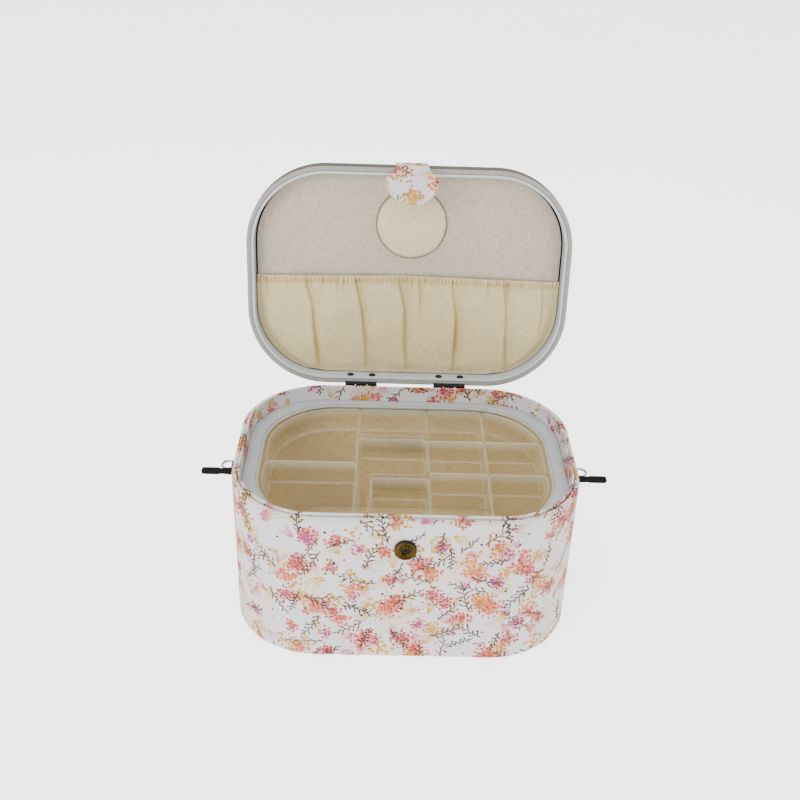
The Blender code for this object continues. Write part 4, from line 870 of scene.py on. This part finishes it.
def make_tray():
    """The clear tray as one closed skin: its lip and outer wall follow the outline, each
    compartment is a cup, and flats join the cups' tops and the foot."""
    shape = Shape()
    profile = np.concatenate([
        [(4.78, DIVIDER_TOP_Z), (4.5, 135.2)],
        arc((4.0, 135.55), 0.45, 0, 90, 5), [(2.4, 136.0)],
        arc((0.45, 135.55), 0.45, 90, 180, 5), arc((0.45, 134.85), 0.45, 180, 270, 5),
        [(2.3, 134.4), (2.7, 134.2), (2.85, 133.8), (4.4, 123.0), (6.0, 111.4)],
        arc((8.4, 111.4), 2.4, 180, 270, 7)[1:],
    ])
    profile[-1, 1] = TRAY_FLOOR_Z
    points, outward = outline(TRAY)
    grid = np.zeros((len(profile), len(points), 3))
    grid[..., :2] = points[None] - outward[None] * profile[:, None, :1]
    grid[..., 2] = profile[:, 1:]
    shape.grid(grid, loop=True)
    for rooms in COMPARTMENTS:
        add_cup(shape, rooms)
    for sides in RIBS:
        add_channel(shape, *sides)
    tray = shape.build("clear_tray", CLEAR, 35, (DIVIDER_TOP_Z, TRAY_FLOOR_Z))
    spots = np.empty(len(tray.data.vertices) * 3)
    tray.data.vertices.foreach_get("co", spots)
    z = spots[2::3] / MM
    # The edge attribute is a painted highlight: full on the walls' top edges, and at 0.30 on the
    # round edges near the floors.
    top = smooth(132.5, 132.95, z) * smooth(133.19, 133.12, z)
    foot = 0.30 * smooth(110.7, 111.0, z) * smooth(113.4, 112.4, z)
    mark(tray, "edge", np.maximum(top, foot))
    dress(tray, "tray", "clear_plastic", "tray")


# The rooms that the hinges' barrels need in the lid: half a width, low and high y and z
BARREL_ROOM = (15.9, (103.8, 150.0), (108.4, 154.3))
LID_CORNER = 4.0
LID_CROWN = 5.0


def make_lid_shell():
    """The lid's padded cover, the patterned cloth round its side, the edge cloth, the grey ring
    inside it and the linen panel."""
    edge = LID_FACE_Z + 1.1
    rows = [(0.0, z) for z in (edge, 158.0, 164.0, LID_SIDE_Z)]
    rows += [tuple(p) for p in arc((LID_CORNER, LID_SIDE_Z), LID_CORNER, 180, 90, 9)[1:]]
    rim, _ = outline(LID, LID_CORNER)
    down = lengths(np.array(rows), closed=False)
    grid, cloth = [], []
    for (inset, z), far in zip(rows, down[-1] - down):
        points, outward = outline(LID, inset)
        grid.append(level_row(points, z))
        cloth.append(rim + outward * far)
    top = grid[-1]
    for share in np.linspace(1, 0, 15)[1:-1]:
        row = top * (share, share, 1.0) + (0.0, 0.0, LID_CROWN * (1 - share ** 3.2))
        grid.append(row)
        cloth.append(row[:, :2])
    inside = [level_row(outline(LID, inset)[0], z)
              for inset, z in ((2.6, 170.8), (0.7, 168.6), (0.7, 160.0), (0.7, edge))]
    cloth = np.stack([np.vstack([c, c[:1]]) for c in cloth])
    grid = np.stack(grid)
    grid[..., 1] += LID_CENTRE_Y
    inside = np.stack(inside)
    inside[..., 1] += LID_CENTRE_Y
    shape = Shape()
    outer = shape.grid(turned_open(grid), cloth, loop=True)
    shape.cap(outer[-1, :-1], cloth[-1, :-1])
    inner = shape.grid(turned_open(inside), loop=True)
    shape.cap(inner[0, :-1])
    shape.bridge(outer[0], inner[-1], cloth[0])
    cover = shape.build("lid_padded_cover", PRINT)
    cut(cover, hinge_rooms("barrel_room", *BARREL_ROOM, True))
    dress(cover, "lid", "print_fabric", "lid_cover", "lid_padding")

    band = [(-0.12, edge + 0.3), (-0.18, 156.0), (-0.18, 165.0), (-0.12, 168.4), (0.05, 168.4),
            (0.05, 156.0), (0.05, edge + 0.3)]
    side = ring_wall("lid_side_band", LID, band, BAND, LID_CENTRE_Y, True)
    cut(side, hinge_rooms("band_room", *BARREL_ROOM, True))
    dress(side, "lid", "print_fabric")

    trim = np.concatenate([
        arc((0.45, 152.3), 0.45, 90, 250, 7),
        [(1.2, 151.82), (2.6, 151.8), (3.5, 151.95), (3.85, 152.25), (3.85, 152.6), (2.0, 152.65)],
    ])
    edge_cloth = ring_wall("lid_edge_cloth", LID, trim, TRIM_CLOTH, LID_CENTRE_Y, True)
    cut(edge_cloth, hinge_rooms("trim_room", *BARREL_ROOM, True))
    dress(edge_cloth, "lid", "linen", "lid_trim")

    ring = np.concatenate([
        [(4.2, 153.3)], arc((4.8, 152.4), 0.6, 180, 270, 5), arc((6.2, 152.4), 0.6, 270, 360, 5),
        [(6.8, 156.0), (6.8, 160.0), (6.8, 167.9), (5.2, 167.9), (5.2, 154.0), (5.1, 153.4)],
    ])
    collar = ring_wall("lid_collar", LID, ring, GREY, LID_CENTRE_Y, True, sharp=50)
    dress(collar, "lid", "grey_plastic", "lid_ring")

    edge_rows = ((0.0, 168.0), (0.0, 166.6), (0.2, 166.1), (0.7, 165.8))
    lining = panel("lid_linen_panel", LID, 8.3, edge_rows, LINEN, LID_CENTRE_Y, True)
    dress(lining, "lid", "linen", "lid_lining")


# The pocket's foot and hem, from the lid's back edge
POCKET_FOOT = 7.7
POCKET_HEM = 103.5
# Each fold: place at the hem, a third down and at the foot, depth, width, how far down it runs
FOLDS = (
    (-99.0, -91.0, -85.5, 3.4, 7.0, 1.0),
    (-51.0, -43.5, -39.0, 3.2, 7.0, 1.0),
    (-10.5, -3.5, -0.5, 3.8, 8.0, 1.0),
    (11.0, 12.5, 13.5, 2.2, 4.5, 0.45),
    (41.5, 45.5, 46.5, 3.8, 7.5, 1.0),
    (89.5, 94.0, 97.0, 3.2, 6.0, 1.0),
    (127.0, 128.5, 124.0, 2.2, 5.0, 0.6),
)


def pocket_half_width(from_hinge):
    """Half the pocket's width: the lid's outline, drawn in to the sewn edge."""
    half = LID[0] / 2 - POCKET_FOOT
    radius = LID[2] - POCKET_FOOT
    short = np.clip(radius - (from_hinge - POCKET_FOOT), 0, radius)
    return half - radius + np.sqrt(np.maximum(radius ** 2 - short ** 2, 0.0))


def pocket_depth(x, height, edge):
    """How far the cloth stands off the panel, and a mask of painted shade in its folds: a belly
    that fades at the sewn edge, less the long folds, each steep on its left side with a ridge
    before it, plus gathers that run down from the elastic and ruches on it. The painted shade lies
    in each fold's valley and in a fainter band to its right, and in the valleys of the ruches and
    gathers."""
    down = (1 - height) * (POCKET_HEM - POCKET_FOOT)
    belly = np.sin(math.pi * np.clip(0.05 + 0.83 * height, 0, 1)) ** 0.8
    depth = 0.9 + 4.6 * belly * edge
    painted_shade = np.zeros_like(x)
    sewn = edge ** 0.3
    for top, third, foot, deep, wide, run in FOLDS:
        place = np.interp(1 - height, [0, 0.33, 1], [top, third, foot])
        off = (x - (place + 0.6 * np.sin(height * 8 + top))) / wide
        valley = smooth(-0.16, 0.02, off) * (1 - smooth(0.02, 1.9, off)) ** 1.5
        shown = smooth(1.0, 0.93, height) * (0.82 + 0.18 * np.sin(height * 5.0 + top * 0.3))
        if run < 1:
            shown = shown * smooth(1 - run - 0.02, 1 - run * 0.5, height)
        grown = shown * (0.35 + 0.65 * smooth(0.02, 0.40, height))
        depth = depth - deep * valley * grown * sewn
        depth = depth + 0.9 * np.exp(-((off + 0.42) / 0.30) ** 2) * grown * sewn
        swell = 0.09 + 0.30 * np.sin(math.pi * np.clip(height * 1.1 + 0.12, 0, 1)) ** 1.6
        # Painted shade: inside lies in the fold's valley, and a fainter band of painted shade runs
        # to its right.
        inside = smooth(-0.10, 0.0, off) * (1 - smooth(swell * 0.5, swell * 1.7, off))
        painted_side_shade = 0.28 * smooth(-0.05, 0.1, off) * (1 - smooth(0.3, 1.8, off))
        painted_shade += (inside + painted_side_shade) * shown * smooth(0.0, 0.04, edge)
    phase = 2.6 * np.sin(x * 0.071) + 1.9 * np.sin(x * 0.19 + 1.0) + 0.8 * np.sin(x * 0.47)
    ruche = np.sin(x * (TURN / 2.9) + phase)
    on_band = smooth(9.5, 5.0, down) * smooth(-0.5, 1.0, down)
    depth = depth + 0.75 * ruche * on_band
    # Painted shade in the valleys of the ruches.
    painted_shade += 0.9 * np.clip(-ruche, 0, 1) ** 2 * on_band * smooth(0.8, 2.5, down)
    gather = np.sin(x * (TURN / 6.7) + 2.2 * np.sin(x * 0.11)) + 0.6 * np.sin(x * 0.57 + 0.4)
    strength = 0.45 + 0.55 * np.sin(x * 0.083 + 0.7)
    reach = 18.0 + 14.0 * np.sin(x * 0.31) * np.sin(x * 0.047 + 1.0)
    fade = smooth(0.0, 5.0, down) * np.clip(1 - down / np.maximum(reach, 7.0), 0, 1)
    depth = depth + 1.1 * gather * strength * fade
    # Painted shade in the valleys of the gathers.
    painted_shade += 0.9 * np.clip(-gather, 0, 1) ** 1.5 * strength * fade
    depth = depth + 0.6 * np.exp(-((down - 3.0) / 2.2) ** 2)
    depth = depth - 0.6 * np.exp(-((down - 6.8) / 1.2) ** 2)
    soft = 0.45 * np.sin(x * 0.045 + height * 5.0) + 0.4 * np.sin(x * 0.11 - height * 9.0 + 2.0)
    soft = soft + 0.25 * np.sin(height * 21.0 + 1.6 * np.sin(x * 0.06))
    return np.maximum(depth + soft * edge, 0.45), np.clip(painted_shade, 0, 1)


def make_pocket():
    """The gathered pocket: one sheet from its sewn foot to the elastic hem, front and back."""
    columns, rows = 561, 58
    share, height = np.meshgrid(np.linspace(-1, 1, columns), np.linspace(0, 1, rows) ** 0.86)
    base = POCKET_FOOT + (POCKET_HEM - POCKET_FOOT) * height
    half = pocket_half_width(base)
    x = share * half
    side = (1 - np.abs(share)) * half
    edge = smooth(1.5, 13.0, side) * smooth(0.5, 9.0, base - POCKET_FOOT)
    depth, painted_shade = pocket_depth(x, height, edge)
    ruffle = 0.25 * np.sin(x * TURN / 2.5) * smooth(0.97, 1.0, height)
    y = LID_BACK_Y - base - (3.0 * height * (1 - np.abs(share)) + ruffle)
    panel_z = LID_LINING_Z - 0.3
    front = np.stack([x, y, panel_z - depth], -1)
    thick = 0.55 + 0.5 * smooth(0.95, 0.97, height)
    back = np.stack([x, y, panel_z - np.maximum(depth - thick, 0.02)], -1)
    cloth = np.stack([x * 1.25, y], -1)
    shape = Shape()
    a = shape.grid(turned_open(front), cloth)
    b = shape.grid(turned_open(back[:, ::-1]), cloth[:, ::-1])[:, ::-1]
    for rim in (np.s_[0], np.s_[-1], np.s_[:, 0], np.s_[:, -1]):
        shape.bridge(a[rim], b[rim], cloth[rim])
    pocket = shape.build("gathered_pocket", COTTON, 60)
    # The fold attribute carries the painted shade, which the cotton's look lays into the folds.
    mark(pocket, "fold", np.concatenate([painted_shade.ravel(), painted_shade[:, ::-1].ravel()]))
    dress(pocket, "lid", "cream_cotton", "pocket", "pocket_elastic")


def make_pincushion():
    """The round pincushion: a low dome sewn to the panel, blown up by a cloth simulation with its
    sewn edge held, and then given one subdivision."""
    centre = np.array([1.5, LID_BACK_Y - 156.0])
    radius, tall = 32.8, 7.6
    turn = np.linspace(0, TURN, 72, endpoint=False)
    spokes = np.stack([np.cos(turn), np.sin(turn)], -1)
    rows = [(0.97, 0.0), (1.0, 0.7), (0.985, 1.7)]
    rows += [(share, 1.7 + (tall - 1.7) * (1 - share ** 2.6))
             for share in (0.95, 0.88, 0.78, 0.65, 0.5, 0.35, 0.2, 0.07)]
    grid = np.stack([level_row(centre + radius * share * spokes, LID_LINING_Z - 0.3 - height)
                     for share, height in rows])
    shape = Shape()
    cloth = looped(grid)
    index = shape.grid(turned_open(grid), cloth, loop=True)
    shape.cap(index[0, :-1], cloth[0, :-1])
    shape.cap(index[-1, :-1], cloth[-1, :-1])
    cushion = shape.build("round_pincushion", CUSHION, 60)
    inflate(cushion, cap=1.6)
    smoother = cushion.modifiers.new("rounder", "SUBSURF")
    smoother.levels = smoother.render_levels = 1
    dress(cushion, "lid", "cream_cotton", "pincushion")
    # A thin olive ring at the cushion's foot: the seam's thread, and its darkness paints the shade
    # in the seam.
    turn = np.radians(np.arange(0, 360, 45))
    seam = [(radius + 0.25 + 0.5 * c, 0.25 + 0.5 * s) for c, s in zip(np.cos(turn), np.sin(turn))]
    spot = turned_open(np.array([centre[0], centre[1], LID_LINING_Z]))
    way = (0.0, -math.sin(OPEN), -math.cos(OPEN))
    thread = lathe("pincushion_seam", spot, way, seam, OLIVE_THREAD_AND_SEAM_SHADE, 96, True)
    dress(thread, "lid", "cream_cotton")


def inflate(piece, cap, frames=20):
    """Blows a closed skin up with Blender's cloth, gravity off, holds its sewn foot, and limits
    how far a point may move, in millimetres, to cap."""
    mesh = piece.data
    before = np.empty(len(mesh.vertices) * 3)
    mesh.vertices.foreach_get("co", before)
    before = before.reshape(-1, 3)
    way = np.array([0.0, math.cos(OPEN - math.pi / 2), math.sin(OPEN - math.pi / 2)])
    level = before @ way
    foot = level > level.max() - 1.2 * MM
    group = piece.vertex_groups.new(name="sewn")
    group.add([int(i) for i in np.nonzero(foot)[0]], 1.0, "REPLACE")
    step = piece.modifiers.new("blown", "CLOTH")
    settings = step.settings
    settings.use_pressure = True
    settings.uniform_pressure_force = 4.0
    settings.vertex_group_mass = "sewn"
    settings.effector_weights.gravity = 0.0
    step.point_cache.frame_start, step.point_cache.frame_end = 1, frames
    for number in range(1, frames + 1):
        bpy.context.scene.frame_set(number)
    bpy.context.view_layer.update()
    seen = piece.evaluated_get(bpy.context.evaluated_depsgraph_get())
    after = np.empty(len(mesh.vertices) * 3)
    seen.data.vertices.foreach_get("co", after)
    move = after.reshape(-1, 3) - before
    far = np.linalg.norm(move, axis=1, keepdims=True)
    move *= np.minimum(1.0, cap * MM / np.maximum(far, 1e-9))
    move[foot] = 0.0
    piece.modifiers.remove(step)
    piece.vertex_groups.remove(group)
    bpy.context.scene.frame_set(1)
    mesh.vertices.foreach_set("co", (before + move).ravel())
    mesh.update()


# The flap's line at rest, in y and z: the root's way, the fold, the crease and the way down
FLAP_ROOT = np.array([-0.9910, 0.1340])
FLAP_FOLD = np.array([134.636, 361.566])
FLAP_CREASE = np.array([125.586, 364.454])
FLAP_DOWN = np.array([-0.8544, -0.5196])
# Its half width at the root and at the widest, and how long its flare and its round end are
FLAP_HALF_ROOT = 15.0
FLAP_HALF_WIDE = 23.5
FLAP_FLARE = 16.0
FLAP_ROUND = 26.0
# How far from the fold its two skins meet
FLAP_SPLIT = 8.9


def flap_line(far):
    """Place and direction along the flap at a distance from the fold. The direction swings
    smoothly from the root's to the neck's at the fold, and to the tongue's at the crease."""
    neck = (FLAP_CREASE - FLAP_FOLD) / np.linalg.norm(FLAP_CREASE - FLAP_FOLD)
    fine = np.linspace(-17.0, 52.5, 1400)
    first = smooth(-1.5, 1.5, fine)[:, None]
    second = smooth(7.6, 11.4, fine)[:, None]
    way = FLAP_ROOT * (1 - first) + neck * (first - second) + FLAP_DOWN * second
    way /= np.linalg.norm(way, axis=1)[:, None]
    path = np.concatenate([[[0, 0]], np.cumsum(way[:-1] * np.diff(fine)[:, None], axis=0)])
    path += FLAP_FOLD - np.array([np.interp(0.0, fine, path[:, k]) for k in (0, 1)])
    place = np.stack([np.interp(far, fine, path[:, k]) for k in (0, 1)], -1)
    heading = np.stack([np.interp(far, fine, way[:, k]) for k in (0, 1)], -1)
    return place, heading


def tongue_half_width(far):
    """Half the flap's width: the straight neck, a flare to the widest place, and a round end."""
    past = far - 9.5
    grown = (1 - np.cos(math.pi * np.clip(past / FLAP_FLARE, 0, 1))) / 2
    flare = FLAP_HALF_ROOT + (FLAP_HALF_WIDE - FLAP_HALF_ROOT) * grown
    rounded = np.clip(past - FLAP_FLARE, 0, FLAP_ROUND) / FLAP_ROUND
    end = FLAP_HALF_WIDE * np.sqrt(np.clip(1 - rounded ** 2, 0, 1))
    return np.where(past < FLAP_FLARE, flare, end)


def flap_skin(name, start, end, turn_at, tip):
    """A flat padded strip: across it, points run round a thin rounded section; along it, they
    follow the flap's line. A row of stitches makes a shallow groove inside the edge."""
    share = np.sin(np.linspace(0, math.pi / 2, 70)) if tip else np.linspace(0, 1, 26)
    far = start + (end - start) * share
    if tip:
        far[-1] = end - 0.02
    half = np.maximum(tongue_half_width(far), 0.4)
    thick = 0.9 + 0.3 * smooth(9.5, 14.0, far)
    if tip:
        thick = thick * smooth(end + 0.25, end - 1.6, far) ** 0.5
    across = np.sin(np.linspace(-math.pi / 2, math.pi / 2, 45))
    upper = np.stack([across, np.ones(len(across))], -1)
    section = np.concatenate([upper, upper[::-1][1:-1] * (1, -1)])
    x = section[None, :, 0] * half[:, None]
    inward = half[:, None] - np.abs(x)
    if tip:
        inward = np.minimum(inward, (end - far)[:, None])
    round_edge = np.sqrt(np.clip(1 - (1 - np.clip(inward / 1.3, 0, 1)) ** 2, 0.0, 1))
    stitch = np.exp(-((inward - 2.6) / 0.45) ** 2) * 0.16 * smooth(9.0, 12.0, far)[:, None]
    lift = section[None, :, 1] * (thick[:, None] * round_edge - stitch)
    place, heading = flap_line(far)
    normal = np.stack([-heading[:, 1], heading[:, 0]], -1)
    yz = place[:, None] + normal[:, None] * lift[..., None]
    grid = np.concatenate([x[..., None], yz], -1)
    cloth = np.stack([x + 1.5 * section[None, :, 1], np.broadcast_to(far[:, None], x.shape)], -1)
    cloth = np.concatenate([cloth, cloth[:, :1]], 1)
    shape = Shape()
    index = shape.grid(grid, cloth, loop=True)
    for row in (0, -1):
        shape.cap(index[row, :-1], cloth[row, :-1])
    piece = shape.build(name, FLAP_PRINT, 50)
    low, high = turn_at
    (y0, z0), (y1, z1) = flap_line(np.array([low, high]))[0] * MM
    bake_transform(piece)
    return piece


def make_flap():
    """The flap in two skins that meet before the crease: the root with the neck, and the
    tongue."""
    neck = flap_skin("flap_neck_cloth", -15.5, FLAP_SPLIT, (-1.2, 1.2), False)
    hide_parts("flap_root", "flap_neck")
    tongue = flap_skin("flap_tongue_cloth", FLAP_SPLIT, 51.5,
                       (9.0, 10.6), True)
    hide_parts("flap_tongue")


def lathe(name, centre, axis, profile, look, steps=64, ring=False):
    """A round solid: each radius and distance along the axis is a ring of points."""
    axis = Vector(axis).normalized()
    first = axis.orthogonal().normalized()
    second = axis.cross(first)
    turn = np.linspace(0, TURN, steps, endpoint=False)
    spokes = np.outer(np.cos(turn), first) + np.outer(np.sin(turn), second)
    profile = np.asarray(profile, float)
    grid = (np.asarray(centre)[None, None] + profile[:, 1][:, None, None] * np.array(axis)
            + profile[:, 0][:, None, None] * spokes[None])
    shape = Shape()
    index = shape.grid(grid, loop=True, ring=ring)
    if not ring:
        shape.cap(index[0, :-1])
        shape.cap(index[-1, :-1])
    return shape.build(name, look, 45)


def make_fittings():
    """The snap, the rivets, the strap rings, and the looks of the CAD nodes that stay."""
    face, forward = (0.0, -108.8, 121.0), (0, -1, 0)
    profile = np.concatenate([
        [(9.1, 0.0), (9.1, 1.9)],
        arc((8.2, 2.2), 0.95, 0, 90, 6),
        [(7.6, 3.0), (7.2, 2.6), (6.6, 2.55), (6.3, 2.8), (5.9, 2.5), (5.4, 2.55)],
        arc((4.7, 2.7), 0.5, 20, 160, 6),
        [(3.9, 2.5), (3.5, 2.2), (3.3, 1.6), (3.3, 1.2), (7.9, 1.2), (7.9, 0.0)],
    ])
    cap = lathe("snap_cap", face, forward, profile, BRASS, ring=True)
    dress(cap, "basket", "old_brass", "snap_socket")
    # A dark ring round the cap's side: painted shade on that side and at the cap's foot.
    sleeve = [(9.02, 0.0), (9.35, 0.0), (9.35, 2.75), (9.02, 2.9)]
    shade_skirt = lathe("snap_cap_side", face, forward, sleeve, DARK_BRASS_AND_SHADE, ring=True)
    dress(shade_skirt, "basket", "old_brass")
    stud = [(1.5, 0.2), (1.5, 0.5), (1.0, 0.9), (0.3, 1.05)]
    plug = lathe("snap_hole_plug", face, forward, stud, DARK_BRASS_AND_SHADE, 24)
    dress(plug, "basket", "old_brass")
    dome = [(1.1, 0.0), (3.1, 0.0), (3.25, -0.25), (3.1, -0.75), (2.6, -1.2), (1.7, -1.5),
            (0.5, -1.65)]
    lid_way = (0.0, math.cos(OPEN), -math.sin(OPEN))
    for side, x in zip(("left", "right"), HINGES_X):
        for place, more in (("left", -10.5), ("right", 10.5)):
            on_lid = turned_open(np.array([x + more, 98.5, 156.0]))
            on_body = (x + more, 107.4, PIN_Z - 7.2)
            for kind, body, spot, way, shank in (("lid_rivet", "lid", on_lid, lid_way, 8.0),
                                                 ("body_rivet", "basket", on_body, forward, 2.7)):
                section = [(1.1, shank)] + dome
                rivet = lathe(f"{kind}_head_{side}_{place}", spot, way, section, BLACK, 28)
                dress(rivet, body, "black_metal", f"{kind}_{side}_{place}")
    for side, sign in (("left", -1), ("right", 1)):
        make_ring(side, sign)
    looks = {
        "bottom_cover": PRINT_FLAT, "body_board": BOARD, "base_board": BOARD,
        "lid_board": GAP_SHADE_BOARD, "lid_frame": GAP_SHADE_BOARD, "snap_magnet": MAGNET,
        "snap_washer": DARK_BRASS_AND_SHADE, "snap_stud": BRASS,
    }
    for side in ("left", "right"):
        for node in ("strap_loop_", "strap_tab_"):
            looks[node + side] = WEBBING
        for node in ("hinge_leaf_lower_", "hinge_leaf_upper_", "hinge_pin_"):
            looks[node + side] = BLACK
    for node, look in looks.items():
        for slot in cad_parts[node].material_slots:
            slot.material = look


# The wire rings: the middle of the bar on the right side, and the wire's radius
RING_BAR = (155.2, 8.9, 119.5)
WIRE = 1.1


def make_ring(side, sign):
    """A round wire ring: a straight bar at the wall and a rounded bow, swept with a circle, and
    the bar's longer front end."""
    half, out = 6.2, 11.0
    angle = np.radians(np.linspace(90, -90, 25))
    bow = np.stack([out / 2 + out / 2 * np.cos(angle), half * np.sin(angle)], -1)
    bar = np.stack([np.zeros(14), np.linspace(-half, half, 14)], -1)[1:-1]
    route = np.concatenate([bow, bar])
    ahead = np.roll(route, -1, 0) - np.roll(route, 1, 0)
    ahead /= np.linalg.norm(ahead, axis=1)[:, None]
    outward = np.stack([ahead[:, 1], -ahead[:, 0]], -1)
    turn = np.linspace(0, TURN, 16, endpoint=False)
    x, y, z = RING_BAR
    grid = np.zeros((len(route), len(turn), 3))
    grid[..., 0] = sign * (x + route[:, None, 0] + outward[:, None, 0] * WIRE * np.cos(turn))
    grid[..., 1] = y + route[:, None, 1] + outward[:, None, 1] * WIRE * np.cos(turn)
    grid[..., 2] = z + WIRE * np.sin(turn)
    shape = Shape()
    shape.grid(grid, loop=True, ring=True)
    ring = shape.build("wire_ring_" + side, NICKEL, 60)
    dress(ring, side + "_strap", "steel", "strap_ring_" + side)
    ends = [(0.6, -4.3), (1.0, -4.15), (WIRE, -3.8), (WIRE, 8.9), (0.8, 9.2)]
    bar_end = lathe("ring_bar_" + side, (sign * x, 0.0, z), (0, 1, 0), ends, NICKEL, 16)
    dress(bar_end, side + "_strap", "steel")


# The floor, in millimetres, and how strongly it and the room glow
FLOOR_REACH = 4000
FLOOR_Z = -0.2
FLOOR_GLOW = 2.2
ROOM_GLOW = 1.38
# Each light: name, place and aim in metres, side and power
LIGHTS = (
    ("overhead", (0.0, -0.1, 1.9), (0, 0, 0), 1.6, 26.0),
    ("front_left", (-1.3, -1.5, 1.3), (0, 0, 0.15), 1.0, 25.0),
)
# The camera fitted to the photograph: place in metres, the ways of its right and up, lens in mm
CAMERA_PLACE = (-0.022306, -0.787489, 0.668751)
CAMERA_RIGHT = (0.9996, -0.0022, 0.0297)
CAMERA_UP = (-0.0243, 0.5134, 0.8578)
CAMERA_LENS = 47.56


def make_setting():
    """A plain pale floor, soft lights and the camera."""
    shape = Shape()
    ends = np.linspace(-FLOOR_REACH, FLOOR_REACH, 3)
    x, y = np.meshgrid(ends, ends)
    shape.grid(np.stack([x, y, np.full(x.shape, FLOOR_Z)], -1))
    look = Look("pale_floor")
    spot = look.node("TexCoord", out="Object")
    grain = look.node("TexNoise", values={"Vector": spot, "Scale": 3.0, "Detail": 2.0})
    pale = look.mix(grain, (0.90, 0.90, 0.90), (0.93, 0.93, 0.93))
    look.put(look.shader.inputs["Emission Color"], pale)
    look.shader.inputs["Emission Strength"].default_value = FLOOR_GLOW
    floor = shape.build("floor", look.finish(pale, 0.9))

    world = bpy.data.worlds.new("soft_room")
    world.use_nodes = True
    background = world.node_tree.nodes["Background"]
    background.inputs["Color"].default_value = (1.0, 1.0, 1.0, 1.0)
    background.inputs["Strength"].default_value = ROOM_GLOW
    bpy.context.scene.world = world
    for name, place, aim, size, power in LIGHTS:
        light = bpy.data.lights.new(name, "AREA")
        light.shape, light.size, light.energy = "SQUARE", size, power
        lamp = bpy.data.objects.new(name, light)
        lamp.location = place
        lamp.rotation_euler = (Vector(aim) - Vector(place)).to_track_quat("-Z", "Y").to_euler()
        bpy.context.scene.collection.objects.link(lamp)

    camera = bpy.data.cameras.new("camera")
    camera.sensor_width, camera.lens = 36.0, CAMERA_LENS
    camera.clip_start, camera.clip_end = 0.01, 50.0
    eye = bpy.data.objects.new("camera", camera)
    right, up = Vector(CAMERA_RIGHT), Vector(CAMERA_UP)
    back = right.cross(up).normalized()
    right = up.cross(back).normalized()
    up = back.cross(right)
    turn = Matrix((right, up, back)).transposed()
    eye.matrix_world = Matrix.Translation(CAMERA_PLACE) @ turn.to_4x4()
    bpy.context.scene.collection.objects.link(eye)
    bpy.context.scene.camera = eye


make_setting()
make_body()
make_tray()
make_lid_shell()
make_pocket()
make_pincushion()
make_flap()
make_fittings()
